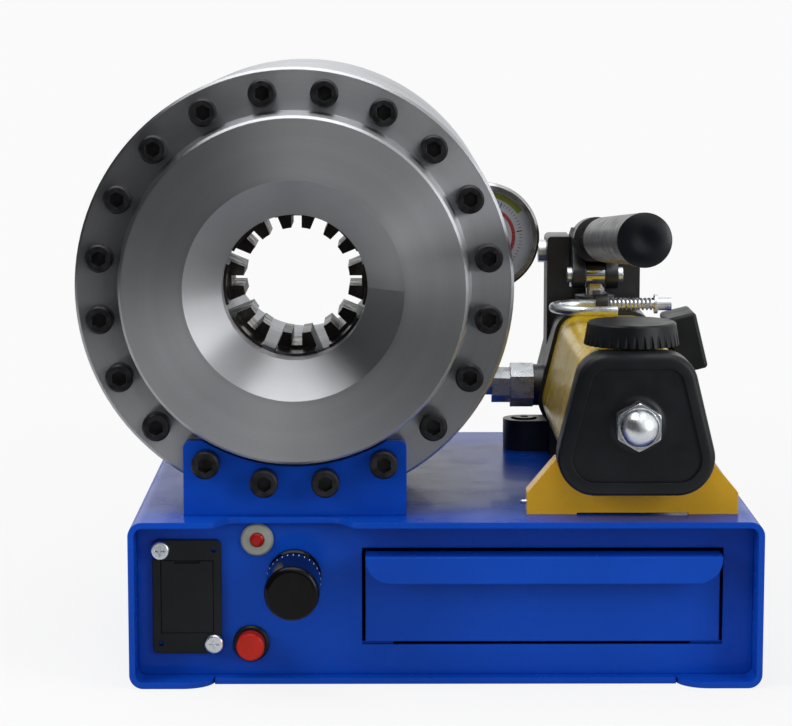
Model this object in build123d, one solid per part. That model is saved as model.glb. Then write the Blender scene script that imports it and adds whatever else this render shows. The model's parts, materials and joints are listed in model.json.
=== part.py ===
from build123d import *
import math
import os

# Hose crimping machine with a hand pump, in millimetres.
# +X is to the operator's right, +Y to the back, +Z up.
# The origin lies on the floor under the cabinet's centre.

# ---- cabinet ----
CAB_W = 360.0
CAB_D = 320.0
CAB_H = 96.0
SHEET = 3.5
BEND_R = 8.0
FOOT_FLANGE_W = 48.0
FOOT_CORNER_R = 18.0
NOTCH_OFFSET = 6.0
NOTCH_FLAT = 52.0
NOTCH_EASE = 19.0
NOTCH_DEPTH = 16.0
PANEL_RECESS = 20.0
PANEL_T = 2.0
REAR_RECESS = 4.0
BOTTOM_SETBACK = 11.0
CAB_FRONT = -CAB_D / 2
CAB_BACK = CAB_D / 2
PANEL_FRONT = CAB_FRONT + PANEL_RECESS
PANEL_BACK = PANEL_FRONT + PANEL_T
REAR_FRONT = CAB_BACK - REAR_RECESS - PANEL_T

# ---- clearances ----
RUN = 0.05          # radial clearance of turning and sliding fits
SEAT = 0.3          # gap between a moving piece and what carries it
FIT = 0.02          # radial clearance of fixed fits

# ---- drawer ----
CONTROLS_W = 132.2
OPENING_MARGIN = 20.8
OPENING_W = CAB_W - CONTROLS_W - OPENING_MARGIN
OPENING_X = CAB_W / 2 - OPENING_MARGIN - OPENING_W / 2
OPENING_RISE = 1.25
OPENING_Z = CAB_H / 2 + OPENING_RISE
OPENING_FRAME = 39.5
OPENING_H = CAB_H - OPENING_FRAME
DRAWER_GAP = 2.0
DRAWER_PROUD = 1.0
DRAWER_FRONT_T = 2.0
DRAWER_WALL = 1.5
DRAWER_DEPTH = 268.0
DRAWER_HEADROOM = 11.5
DRAWER_BOX_H = OPENING_H - DRAWER_HEADROOM
LIP_REACH = 14.0
LIP_DROP = 16.0
LIP_T = 2.0
LIP_CORNER_R = 14.0
RUNNER_T = 2.0
RUNNER_LEDGE = 20.0

# ---- crimping head ----
HEAD_SHARE = -0.238889      # of the cabinet's width, from its middle
HEAD_X = CAB_W * HEAD_SHARE
HEAD_OD = 250.0
HEAD_LIFT = 5.0
HEAD_Z = CAB_H + HEAD_LIFT + HEAD_OD / 2
BRACKET_SETBACK = 22.0
BRACKET_T = 8.0
BRACKET_SHARE = 0.5096
BRACKET_W = HEAD_OD * BRACKET_SHARE
BRACKET_H = 43.0
BRACKET_ARC_GAP = 1.0
BRACKET_CORNER_R = 4.0
BRACKET_FACE = CAB_FRONT + BRACKET_SETBACK
FLANGE_FACE = BRACKET_FACE + BRACKET_T
BOSS_H = 20.0
BOSS_LEDGE = 26.5
BOSS_SLOPE = 2.0
BOSS_R = HEAD_OD / 2 - BOSS_LEDGE
BOSS_ROOT_R = BOSS_R + BOSS_SLOPE
BOSS_FACE = FLANGE_FACE - BOSS_H
MOUTH_R = 62.4
MOUTH_DEPTH = 21.0
THROAT_R = 41.6
RIM_CHAMFER = 1.5
FRONT_WALL = 18.0
FRONT_LEN = 110.0
REAR_LEN = 110.0
END_WALL = 30.0
BODY_WALL = 25.0
BORE_R = HEAD_OD / 2 - BODY_WALL
CAVITY_FRONT = FLANGE_FACE + FRONT_WALL
SPLIT_Y = FLANGE_FACE + FRONT_LEN
HEAD_BACK = SPLIT_Y + REAR_LEN
CHAMBER_BACK = HEAD_BACK - END_WALL

# ---- head screws, M10 socket cap ----
SCREW_COUNT = 20
SCREW_EDGE = 13.4
SCREW_CIRCLE_R = HEAD_OD / 2 - SCREW_EDGE
SCREW_PHASE = 9.0
SCREW_R = 5.0
SCREW_HEAD_R = 8.0
SCREW_HEAD_H = 10.0
SCREW_HEX_AF = 8.0
SCREW_HEX_DEPTH = 5.0
SCREW_BITE = 22.0
SCREW_HOLE_PLAY = 0.25
REAR_SCREW_BITE = 16.0

# ---- jaws and ring piston ----
JAW_COUNT = 8
JAW_LEN = 66.0
JAW_PLAY = 0.2
JAW_INNER_R = 31.0
JAW_LEAD_R = 40.0
JAW_LEAD_LEN = 22.0
JAW_SLOT_W = 6.0
JAW_SLOT_DEPTH = 7.0
WEDGE_START = 16.0
JAW_APOTHEM = BORE_R - WEDGE_START
JAW_CLOSED_GAP = 0.5
WEDGE_DEG = 20.0
WEDGE_PLAY = 0.1
PISTON_STROKE = 27.5
PISTON_END_GAP = 2.5
PISTON_LEN = 122.0
SLEEVE_OR = 58.0
SLEEVE_IR = 48.0
SLEEVE_SHOULDER_R = 64.0
SLEEVE_SHOULDER_T = 5.0
SEAL_W = 6.0
SEAL_DEPTH = 5.0
SEAL_SETBACK = 18.0
SPRING_OR = 3.2
SPRING_IR = 2.2
SPRING_POCKET = 8.0
SPRING_DROP = 22.0
SPRING_CIRCLE_R = JAW_APOTHEM - SPRING_DROP
SPRING_SETBACK = 20.0
SLOPE = math.tan(math.radians(WEDGE_DEG))
JAW_TRAVEL = PISTON_STROKE * SLOPE
HALF_PITCH = math.pi / JAW_COUNT
JAW_GAP = 2 * JAW_TRAVEL * math.sin(HALF_PITCH) + JAW_CLOSED_GAP
JAW_FRONT = CAVITY_FRONT + JAW_PLAY
JAW_BACK = JAW_FRONT + JAW_LEN
SLEEVE_FRONT = JAW_BACK + JAW_PLAY
PISTON_FRONT = CAVITY_FRONT + PISTON_STROKE + PISTON_END_GAP
PISTON_BACK = PISTON_FRONT + PISTON_LEN

# ---- battery box ----
BOX_INSET = 32.05
BOX_X = BOX_INSET - CAB_W / 2
BOX_RISE = 1.55
BOX_Z = CAB_H / 2 + BOX_RISE
BOX_FLANGE_W = 39.3
BOX_FLANGE_H = 66.1
BOX_FLANGE_T = 2.5
BOX_WALL = 1.2
BOX_DEPTH = 60.0
TRAY_W = 29.6
TRAY_H = 42.0
TRAY_LEN = 56.0
TRAY_WALL = 1.4
TRAY_FACE_T = 3.0
BATTERY_W = 26.0
BATTERY_T = 17.5
BATTERY_LEN = 46.5
BATTERY_COUNT = 2
BOX_SCREW_DX = 15.3
BOX_SCREW_DZ = 27.3
BOX_SCREW_R = 1.5
BOX_SCREW_HEAD_R = 5.6
BOX_SCREW_HEAD_H = 3.0

# ---- lamp, button and size knob ----
LAMP_INSET = 72.3
LAMP_X = LAMP_INSET - CAB_W / 2
LAMP_DROP = 13.4
LAMP_Z = CAB_H - LAMP_DROP
LAMP_RING_R = 9.4
LAMP_RING_T = 2.2
LAMP_BODY_R = 6.0
LAMP_LENS_R = 4.2
LAMP_LENS_PROUD = 1.6
LAMP_BODY_LEN = 18.0
BUTTON_INSET = 68.5
BUTTON_X = BUTTON_INSET - CAB_W / 2
BUTTON_Z = 22.0
BUTTON_RING_R = 10.5
BUTTON_RING_T = 3.0
BUTTON_BODY_R = 9.2
BUTTON_CAP_R = 8.0
BUTTON_PROUD = 12.0
BUTTON_BODY_LEN = 20.0
BUTTON_TRAVEL = 3.0
KNOB_INSET = 93.5
KNOB_X = KNOB_INSET - CAB_W / 2
KNOB_DROP = 34.5
KNOB_Z = CAB_H - KNOB_DROP
KNOB_R = 15.5
KNOB_REACH = 50.0
KNOB_FLANGE_T = 5.0
KNOB_BEVEL = 1.2
KNOB_SLEEVE_R = 13.2
KNOB_SLEEVE_LEN = 17.0
KNOB_NECK_R = 10.0
KNOB_NECK_LEN = 10.0
KNOB_SPINDLE_R = 4.0
KNOB_SPINDLE_REACH = 45.0
STOP_NUT_W = 18.0
STOP_NUT_T = 10.0
STOP_NUT_SETBACK = 16.0

# ---- pressure gauge ----
PUMP_SHARE = 0.297778      # of the cabinet's width, from its middle
PUMP_X = CAB_W * PUMP_SHARE
GAUGE_OFFSET = 76.2
GAUGE_LIFT = 9.0
GAUGE_X = PUMP_X - GAUGE_OFFSET
GAUGE_Z = HEAD_Z + GAUGE_LIFT
GAUGE_SETBACK = 6.0
BEZEL_R = 35.5
BEZEL_LEN = 8.0
BEZEL_LIP_R = 31.0
BEZEL_LIP_T = 1.5
CASE_R = 33.9
CASE_LEN = 27.0
CASE_WALL = 1.5
GLASS_T = 1.5
DIAL_SETBACK = 6.5
DIAL_T = 0.8
POINTER_LEN = 24.0
POINTER_W = 2.4
POINTER_T = 0.8
POINTER_HUB_R = 3.2
POINTER_SHAFT_R = 1.2
POINTER_ZERO_DEG = 225.0
STEM_R = 6.5
STEM_LEN = 14.0
BLOCK_H = 20.0
BLOCK_D = 20.0
BLOCK_BEVEL = 1.2
PORT_OFFSET = 72.0
PORT_X = HEAD_X + PORT_OFFSET
PORT_DEPTH = 12.0
GAUGE_FRONT = HEAD_BACK + GAUGE_SETBACK
CASE_FRONT = GAUGE_FRONT + BEZEL_LIP_T
CASE_MID = CASE_FRONT + CASE_LEN / 2

# ---- hand pump ----
FLANK_LEAN = 0.245
TANK_FOOT_HALF = 44.5
TANK_LIFT = 19.2
TANK_BOTTOM = CAB_H + TANK_LIFT
TANK_H = 71.8
TANK_LOW_R = 17.0
TANK_HIGH_R = 13.0
TANK_WALL = 3.0
CAP_FRONT = CAB_FRONT
CAP_LEN = 24.0
CAP_RIM = 4.5
CAP_WALL = 4.0
CAP_EDGE_R = 4.0
TANK_BACK = 68.0
TANK_TOP = TANK_BOTTOM + TANK_H
CAP_BACK = CAP_FRONT + CAP_LEN
TIE_LIFT = 36.8
TIE_Z = TANK_BOTTOM + TIE_LIFT
TIE_R = 8.0
TIE_BITE = 6.0
ACORN_AF = 24.0
ACORN_HEX_H = 12.0
ACORN_DOME_R = 11.0
FOOT_T = 3.0
FOOT_W = 121.0
FOOT_SHOULDER = 12.5
FOOT_TOP_W = 88.4
FOOT_H = 32.0
FOOT_RETURN = 16.0
FOOT_RELIEF_W = 64.0
FOOT_RELIEF = 1.0
FILLER_Y = -117.5
NECK_R = 18.0
NECK_H = 5.0
NECK_BORE_R = 12.0
FILLER_R = 27.5
FILLER_TOP_R = 25.5
FILLER_H = 13.0
FILLER_RIBS = 36
FILLER_RIB_R = 1.3
FILLER_PLUG_LEN = 9.0

PUMP_HEAD_LEN = 68.0
PUMP_HEAD_RIM = 2.5
PUMP_SOLE_W = 70.0
EAR_REACH = 50.0
EAR_Y = 95.0
EAR_R = 14.0
EAR_H = 20.0
EAR_SCREW_R = 4.0
EAR_SINK_R = 9.0
EAR_SINK = 7.0
TOWER_LEFT = 35.2
TOWER_RIGHT = 25.8
TOWER_X0 = PUMP_X - TOWER_LEFT
TOWER_X1 = PUMP_X + TOWER_RIGHT
TOWER_D = 34.0
TOWER_LIFT = 119.8
TOWER_TOP = TANK_BOTTOM + TOWER_LIFT
TOWER_EDGE_R = 3.0
LEVER_W = 29.4
LEVER_PLAY = 0.5
PIVOT_DROP = 11.0
PIVOT_Z = TOWER_TOP - PIVOT_DROP
PIVOT_SETBACK = 17.0
PIVOT_R = 5.0
PIVOT_HEAD_R = 7.5
PIVOT_HEAD_T = 5.0
PIVOT_BOSS_R = 11.0
PLUNGER_OFFSET = 34.0
PLUNGER_PIN_R = 4.0
PLUNGER_PIN_SLOP = 0.5
PLUNGER_PIN_OVERHANG = 3.0
PLUNGER_R = 7.0
PLUNGER_TONGUE_W = 12.0
PLUNGER_DEPTH = 60.0
PLUNGER_EYE_R = 8.0
PLUNGER_EYE_LIFT = 15.0
LEVER_EYE_R = 9.0
GLAND_R = 13.0
GLAND_H = 9.0
HANDLE_OFFSET = 5.2
HANDLE_X = PUMP_X - HANDLE_OFFSET
HANDLE_START_DEG = -20.0
HANDLE_TILT = 5.1
SOCKET_R = 14.7
SOCKET_LEN = 34.0
SOCKET_BACK = 106.0
SOCKET_RISE = 8.5
TUBE_R = 11.0
TUBE_WALL = 2.0
GRIP_R = 14.0
GRIP_LEN = 243.0
GRIP_TIP_R = 7.0
GRIP_LIP_R = 1.0
HANDLE_REACH = 346.0
VALVE_Y = 90.0
VALVE_LIFT = 48.8
VALVE_Z = TANK_BOTTOM + VALVE_LIFT
VALVE_W = 43.0
VALVE_H = 37.0
VALVE_T = 20.0
VALVE_STANDOFF = 9.0
VALVE_STEM_R = 7.0
VALVE_STEM_BITE = 12.0
VALVE_EDGE_R = 2.5
BAIL_R = 3.0
BAIL_GLAND_GAP = 17.0
BAIL_SPAN = 40.0
BAIL_BEND_REACH = 34.2
BAIL_END_REACH = 4.8
BAIL_TIP_REACH = 42.8
BAIL_LUG_OFFSET = 2.2
BAIL_LEFT_X = PUMP_X - BAIL_BEND_REACH
BAIL_FRONT_END = PUMP_X + BAIL_END_REACH
BAIL_TIP_X = PUMP_X + BAIL_TIP_REACH
BAIL_LUG_X = PUMP_X - BAIL_LUG_OFFSET
BAIL_LUG_T = 8.0
BAIL_LUG_R = 6.5
BAIL_SPRING_OR = 4.6
BAIL_SPRING_IR = 3.3
BAIL_WASHER_REACH = 31.8
BAIL_WASHER_X = PUMP_X + BAIL_WASHER_REACH
BAIL_WASHER_R = 6.2
BAIL_WASHER_T = 2.0
BAIL_TIP_R = 4.2
PUMP_HEAD_BACK = TANK_BACK + PUMP_HEAD_LEN
TOWER_FRONT = PUMP_HEAD_BACK - TOWER_D
PIVOT_Y = PUMP_HEAD_BACK - PIVOT_SETBACK
PLUNGER_Y = PIVOT_Y - PLUNGER_OFFSET
BAIL_BACK_Y = PLUNGER_Y - BAIL_GLAND_GAP
BAIL_Z = TANK_TOP + PUMP_HEAD_RIM + BAIL_SPRING_OR + SEAT
PLUNGER_PIN_Z = PIVOT_Z + PLUNGER_OFFSET * math.tan(math.radians(HANDLE_START_DEG))

# ---- hydraulic union ----
UNION_LIFT = 24.8
UNION_Z = TANK_BOTTOM + UNION_LIFT
PIPE_R = 6.5
PIPE_BITE = 20.0
UNION_REACH = 45.2
UNION_FACE_X = PUMP_X - UNION_REACH
UNION_NUT_AF = 25.0
UNION_NUT_LEN = 15.0
NIPPLE_HEX_AF = 20.0
NIPPLE_HEX_LEN = 12.0
UNION_BOSS_R = 13.5
UNION_Y = TANK_BACK + UNION_BOSS_R


def block(x0, x1, y0, y1, z0, z1):
    """Box between two corners."""
    return Pos((x0 + x1) / 2, (y0 + y1) / 2, (z0 + z1) / 2) * Box(x1 - x0, y1 - y0, z1 - z0)


def round_x(radius, x0, x1, y, z):
    """Cylinder along X."""
    return Pos((x0 + x1) / 2, y, z) * Rot(0, 90, 0) * Cylinder(radius, x1 - x0)


def round_y(radius, y0, y1, x, z):
    """Cylinder along Y."""
    return Pos(x, (y0 + y1) / 2, z) * Rot(90, 0, 0) * Cylinder(radius, y1 - y0)


def round_z(radius, z0, z1, x, y):
    """Cylinder along Z."""
    return Pos(x, y, (z0 + z1) / 2) * Cylinder(radius, z1 - z0)


def front_plane(y):
    """Upright plane facing the operator: local x is X, local y is Z."""
    return Plane(origin=(0, y, 0), x_dir=(1, 0, 0), z_dir=(0, -1, 0))


def side_plane(x):
    """Upright plane facing right: local x is Y, local y is Z."""
    return Plane(origin=(x, 0, 0), x_dir=(0, 1, 0), z_dir=(1, 0, 0))


def slab_y(sketch, y0, y1):
    """Front-view outline carried from y0 back to y1."""
    return extrude(front_plane(y1) * sketch, amount=y1 - y0)


def slab_x(sketch, x0, x1):
    """Side-view outline carried from x0 to x1."""
    return extrude(side_plane(x0) * sketch, amount=x1 - x0)


def outline(points):
    """Flat face inside a closed run of points."""
    return make_face(Polyline(*points, close=True))


def turned(points, x=HEAD_X, z=HEAD_Z):
    """Revolve (radius, y) points about the Y line through x, z."""
    plane = Plane(origin=(x, 0, z), x_dir=(1, 0, 0), z_dir=(0, 0, 1))
    return revolve(plane * outline(points), axis=Axis((x, 0, z), (0, 1, 0)))


def hexagon_y(across_flats, y0, y1, x, z, turn=0):
    """Hexagonal bar along Y, corners up and down unless turned."""
    face = Pos(x, z) * Rot(0, 0, 90 + turn) * RegularPolygon(across_flats / math.sqrt(3), 6)
    return slab_y(face, y0, y1)


def hexagon_x(across_flats, x0, x1, y, z):
    """Hexagonal bar along X, corners up and down."""
    face = Pos(y, z) * Rot(0, 0, 90) * RegularPolygon(across_flats / math.sqrt(3), 6)
    return slab_x(face, x0, x1)


# ---------------------------------------------------------------- cabinet

def cabinet_shell():
    """Plate wrapped into top, sides and two foot flanges, with a scooped front edge."""
    outer = Pos(0, CAB_H / 2) * RectangleRounded(CAB_W, CAB_H, BEND_R)
    inner = Pos(0, CAB_H / 2) * RectangleRounded(CAB_W - 2 * SHEET, CAB_H - 2 * SHEET, BEND_R - SHEET)
    mouth_half = CAB_W / 2 - FOOT_FLANGE_W
    shell = slab_y(outer - inner, CAB_FRONT, CAB_BACK)
    shell -= block(-mouth_half, mouth_half, CAB_FRONT - 1, CAB_BACK + 1, -1, SHEET + 1)
    corners = shell.edges().filter_by(Axis.Z).filter_by(lambda e: abs(abs(e.center().X) - mouth_half) < 1)
    shell = fillet(corners, FOOT_CORNER_R)
    shell -= top_notch()
    for x in (PUMP_X - EAR_REACH, PUMP_X + EAR_REACH):
        shell -= round_z(EAR_SCREW_R + FIT, CAB_H - 2 * SHEET, CAB_H + 1, x, EAR_Y)
    return shell


def top_notch():
    """Shallow scoop in the top plate's front edge, eased at both ends."""
    notch_x = HEAD_X - NOTCH_OFFSET
    half = NOTCH_FLAT / 2
    floor = CAB_FRONT + NOTCH_DEPTH
    edge = CAB_FRONT
    reach = half + NOTCH_EASE
    left = Spline((notch_x - reach, edge), (notch_x - half, floor), tangents=((1, 0), (1, 0)))
    base = Line((notch_x - half, floor), (notch_x + half, floor))
    right = Spline((notch_x + half, floor), (notch_x + reach, edge), tangents=((1, 0), (1, 0)))
    front = Polyline((notch_x + reach, edge), (notch_x + reach, edge - 1),
                     (notch_x - reach, edge - 1), (notch_x - reach, edge))
    face = make_face(left + base + right + front)
    return extrude(Pos(0, 0, CAB_H - SHEET - 1) * face, amount=SHEET + 2)


def bottom_plate():
    """Flat plate closing the underside between the foot flanges."""
    half = CAB_W / 2 - FOOT_FLANGE_W
    return block(-half, half, CAB_FRONT + BOTTOM_SETBACK, CAB_BACK, 0, SHEET)


def panel_plate(y0):
    """Plate that fills the shell's inside, corners rounded to the bends."""
    face = Pos(0, CAB_H / 2) * RectangleRounded(CAB_W - 2 * SHEET, CAB_H - 2 * SHEET, BEND_R - SHEET)
    return slab_y(face, y0, y0 + PANEL_T)


def front_panel():
    """Recessed panel with the drawer opening and the holes of the controls."""
    panel = panel_plate(PANEL_FRONT)
    lip = PANEL_T
    panel -= block(OPENING_X - OPENING_W / 2, OPENING_X + OPENING_W / 2, PANEL_FRONT - lip, PANEL_BACK + lip,
                   OPENING_Z - OPENING_H / 2, OPENING_Z + OPENING_H / 2)
    cavity_w = TRAY_W / 2 + SEAT + BOX_WALL + FIT
    cavity_h = TRAY_H / 2 + SEAT + BOX_WALL + FIT
    panel -= block(BOX_X - cavity_w, BOX_X + cavity_w, PANEL_FRONT - lip, PANEL_BACK + lip,
                   BOX_Z - cavity_h, BOX_Z + cavity_h)
    holes = ((LAMP_X, LAMP_Z, LAMP_BODY_R), (BUTTON_X, BUTTON_Z, BUTTON_BODY_R),
             (KNOB_X, KNOB_Z, KNOB_NECK_R))
    for x, z, radius in holes:
        panel -= round_y(radius + FIT, PANEL_FRONT - lip, PANEL_BACK + lip, x, z)
    for x, z in box_screw_places():
        panel -= round_y(BOX_SCREW_R + FIT, PANEL_FRONT - lip, PANEL_BACK + lip, x, z)
    return panel


def rear_panel():
    """Plain recessed panel closing the back."""
    return panel_plate(REAR_FRONT)


def drawer_runners():
    """Two angle rails from the front panel to the rear panel under the drawer's sides."""
    ledge_top = OPENING_Z - OPENING_H / 2 + DRAWER_GAP - SEAT
    rails = []
    for side in (-1, 1):
        edge = OPENING_X + side * (OPENING_W / 2)
        outer = edge + side * RUNNER_T
        inner = outer - side * RUNNER_LEDGE
        x0, x1 = sorted((outer, inner))
        rail = block(x0, x1, PANEL_BACK, REAR_FRONT, ledge_top - 2 * RUNNER_T, ledge_top)
        x0, x1 = sorted((edge, outer))
        rail += block(x0, x1, PANEL_BACK, REAR_FRONT, ledge_top, OPENING_Z)
        rails.append(rail)
    return Compound(rails)


def drawer():
    """Open tray with a front plate and a pull lip folded forward and down from its top edge."""
    half = OPENING_W / 2 - DRAWER_GAP
    low = OPENING_Z - OPENING_H / 2 + DRAWER_GAP
    high = OPENING_Z + OPENING_H / 2 - DRAWER_GAP
    face = PANEL_FRONT - DRAWER_PROUD
    back = face + DRAWER_FRONT_T
    left, right = OPENING_X - half, OPENING_X + half
    tray = block(left + DRAWER_WALL, right - DRAWER_WALL, back, back + DRAWER_DEPTH, low, low + DRAWER_BOX_H)
    tray -= block(left + 2 * DRAWER_WALL, right - 2 * DRAWER_WALL, back + DRAWER_WALL,
                  back + DRAWER_DEPTH - DRAWER_WALL, low + DRAWER_WALL, low + DRAWER_BOX_H + 1)
    body = tray + block(left, right, face, back, low, high)
    body += block(left, right, face - LIP_REACH, face, high - LIP_T, high)
    tongue = Pos(OPENING_X, high - LIP_DROP / 2) * Rectangle(2 * half, LIP_DROP)
    tongue = fillet(tongue.vertices().group_by(Axis.Y)[0], LIP_CORNER_R)
    body += slab_y(tongue, face - LIP_REACH, face - LIP_REACH + LIP_T)
    fold = body.edges().filter_by(Axis.X).group_by(Axis.Y)[0].group_by(Axis.Z)[-1]
    return fillet(fold, LIP_T)


# ---------------------------------------------------------------- panel controls

def box_screw_places():
    """The two fixing screws sit at opposite corners of the battery box."""
    return ((BOX_X - BOX_SCREW_DX, BOX_Z + BOX_SCREW_DZ), (BOX_X + BOX_SCREW_DX, BOX_Z - BOX_SCREW_DZ))


def battery_box():
    """Moulded housing: front flange with four holes and a sleeve behind the panel."""
    half_w = TRAY_W / 2 + SEAT
    half_h = TRAY_H / 2 + SEAT
    flange = Pos(BOX_X, BOX_Z) * RectangleRounded(BOX_FLANGE_W, BOX_FLANGE_H, 3 * BOX_WALL)
    body = slab_y(flange, PANEL_FRONT - BOX_FLANGE_T, PANEL_FRONT)
    body += block(BOX_X - half_w - BOX_WALL, BOX_X + half_w + BOX_WALL, PANEL_FRONT, PANEL_FRONT + BOX_DEPTH,
                  BOX_Z - half_h - BOX_WALL, BOX_Z + half_h + BOX_WALL)
    body -= block(BOX_X - half_w, BOX_X + half_w, PANEL_FRONT - 2 * BOX_FLANGE_T,
                  PANEL_FRONT + BOX_DEPTH - BOX_WALL, BOX_Z - half_h, BOX_Z + half_h)
    for side in (-1, 1):
        for end in (-1, 1):
            x = BOX_X + side * BOX_SCREW_DX
            z = BOX_Z + end * BOX_SCREW_DZ
            body -= round_y(BOX_SCREW_R + FIT, PANEL_FRONT - 2 * BOX_FLANGE_T, PANEL_FRONT + 1, x, z)
    return body


def battery_tray():
    """Slide-out tray, open on top, that holds the batteries one above the other."""
    face = PANEL_FRONT - BOX_FLANGE_T
    left, right = BOX_X - TRAY_W / 2, BOX_X + TRAY_W / 2
    low, high = BOX_Z - TRAY_H / 2, BOX_Z + TRAY_H / 2
    tray = block(left, right, face, face + TRAY_LEN, low, high)
    tray -= block(left + TRAY_WALL, right - TRAY_WALL, face + TRAY_FACE_T,
                  face + TRAY_LEN - TRAY_WALL, low + TRAY_WALL, high + 1)
    notch_w = TRAY_W / 4
    tray -= block(BOX_X - notch_w, BOX_X + notch_w, face - 1, face + TRAY_WALL, high - TRAY_WALL, high + 1)
    return tray


def batteries():
    """Block batteries stacked in the tray."""
    face = PANEL_FRONT - BOX_FLANGE_T + TRAY_FACE_T + SEAT
    low = BOX_Z - TRAY_H / 2 + TRAY_WALL
    cells = []
    for i in range(BATTERY_COUNT):
        z0 = low + i * BATTERY_T
        cell = block(BOX_X - BATTERY_W / 2, BOX_X + BATTERY_W / 2, face, face + BATTERY_LEN,
                     z0, z0 + BATTERY_T)
        cells.append(fillet(cell.edges().filter_by(Axis.Y), 2 * TRAY_WALL))
    return Compound(cells)


def battery_box_screws():
    """Pan-head cross-recess screws."""
    face = PANEL_FRONT - BOX_FLANGE_T
    screws = []
    for x, z in box_screw_places():
        head = round_y(BOX_SCREW_HEAD_R, face - BOX_SCREW_HEAD_H, face, x, z)
        head = fillet(head.edges().group_by(Axis.Y)[0], BOX_SCREW_HEAD_H / 2)
        arm = BOX_SCREW_HEAD_R / 2
        for w, h in ((arm, BOX_SCREW_R / 3), (BOX_SCREW_R / 3, arm)):
            head -= block(x - w, x + w, face - 2 * BOX_SCREW_HEAD_H, face - BOX_SCREW_HEAD_H / 2,
                          z - h, z + h)
        screws.append(head + round_y(BOX_SCREW_R, face, PANEL_BACK + BOX_FLANGE_T, x, z))
    return Compound(screws)


def lamp_bezel():
    """Indicator lamp body with its front ring."""
    ring = round_y(LAMP_RING_R, PANEL_FRONT - LAMP_RING_T, PANEL_FRONT, LAMP_X, LAMP_Z)
    ring = chamfer(ring.edges().group_by(Axis.Y)[0], LAMP_RING_T / 2)
    body = ring + round_y(LAMP_BODY_R, PANEL_FRONT, PANEL_FRONT + LAMP_BODY_LEN, LAMP_X, LAMP_Z)
    return body - round_y(LAMP_LENS_R + FIT, PANEL_FRONT - 2 * LAMP_RING_T,
                          PANEL_FRONT + LAMP_BODY_LEN - LAMP_RING_T, LAMP_X, LAMP_Z)


def lamp_lens():
    """Domed red lens."""
    front = PANEL_FRONT - LAMP_RING_T - LAMP_LENS_PROUD
    lens = round_y(LAMP_LENS_R, front, PANEL_FRONT + LAMP_BODY_LEN - LAMP_RING_T, LAMP_X, LAMP_Z)
    return fillet(lens.edges().group_by(Axis.Y)[0], LAMP_LENS_R / 2)


def button_bezel():
    """Push-button body with a round front ring and a blind bore."""
    ring = round_y(BUTTON_RING_R, PANEL_FRONT - BUTTON_RING_T, PANEL_FRONT, BUTTON_X, BUTTON_Z)
    ring = chamfer(ring.edges().group_by(Axis.Y)[0], BUTTON_RING_T / 3)
    body = ring + round_y(BUTTON_BODY_R, PANEL_FRONT, PANEL_FRONT + BUTTON_BODY_LEN, BUTTON_X, BUTTON_Z)
    return body - round_y(BUTTON_CAP_R + RUN, PANEL_FRONT - 2 * BUTTON_RING_T,
                          PANEL_FRONT + BUTTON_BODY_LEN - BUTTON_RING_T, BUTTON_X, BUTTON_Z)


def red_button():
    """Round push button."""
    back = PANEL_FRONT + BUTTON_BODY_LEN - BUTTON_RING_T - BUTTON_TRAVEL - SEAT
    cap = round_y(BUTTON_CAP_R, PANEL_FRONT - BUTTON_PROUD, back, BUTTON_X, BUTTON_Z)
    return fillet(cap.edges().group_by(Axis.Y)[0], BUTTON_CAP_R / 5)


def dial_sleeve():
    """Fixed base of the size knob: panel flange, graduated sleeve and a bush through the panel."""
    flange_y = PANEL_FRONT - KNOB_FLANGE_T
    body = round_y(KNOB_R, flange_y, PANEL_FRONT, KNOB_X, KNOB_Z)
    body = chamfer(body.edges().group_by(Axis.Y)[0], KNOB_BEVEL)
    body += round_y(KNOB_SLEEVE_R, flange_y - KNOB_SLEEVE_LEN, flange_y, KNOB_X, KNOB_Z)
    body += round_y(KNOB_NECK_R, PANEL_FRONT, PANEL_BACK + KNOB_NECK_LEN, KNOB_X, KNOB_Z)
    return body - round_y(KNOB_SPINDLE_R + RUN, flange_y - 2 * KNOB_SLEEVE_LEN,
                          PANEL_BACK + 2 * KNOB_NECK_LEN, KNOB_X, KNOB_Z)


def size_knob():
    """Turning cap over the graduated sleeve, with its threaded spindle."""
    front = PANEL_FRONT - KNOB_REACH
    back = PANEL_FRONT - KNOB_FLANGE_T - KNOB_SLEEVE_LEN / 2
    seat = PANEL_FRONT - KNOB_FLANGE_T - KNOB_SLEEVE_LEN - SEAT
    cap = round_y(KNOB_R, front, back, KNOB_X, KNOB_Z)
    cap = fillet(cap.edges().group_by(Axis.Y)[0], KNOB_R / 5)
    cap -= round_y(KNOB_SLEEVE_R + RUN, seat, back + 1, KNOB_X, KNOB_Z)
    return cap + round_y(KNOB_SPINDLE_R, seat - 1, PANEL_BACK + KNOB_SPINDLE_REACH, KNOB_X, KNOB_Z)


def stop_nut():
    """Square nut on the spindle that sets where the closing stroke ends."""
    y0 = PANEL_BACK + KNOB_NECK_LEN + STOP_NUT_SETBACK
    half = STOP_NUT_W / 2
    nut = block(KNOB_X - half, KNOB_X + half, y0, y0 + STOP_NUT_T, KNOB_Z - half, KNOB_Z + half)
    return nut - round_y(KNOB_SPINDLE_R + RUN, y0 - 1, y0 + STOP_NUT_T + 1, KNOB_X, KNOB_Z)


# ---------------------------------------------------------------- crimping head

def screw_angles():
    """Directions of the head screws, in degrees from +X."""
    step = 360 / SCREW_COUNT
    return [SCREW_PHASE + step * i for i in range(SCREW_COUNT)]


def screw_place(angle):
    """Centre of a head screw in the front view."""
    turn = math.radians(angle)
    return HEAD_X + SCREW_CIRCLE_R * math.cos(turn), HEAD_Z + SCREW_CIRCLE_R * math.sin(turn)


def in_bracket(x, z):
    """True for a screw that passes through a bracket."""
    return abs(x - HEAD_X) < BRACKET_W / 2 and z < CAB_H + BRACKET_H


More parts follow.
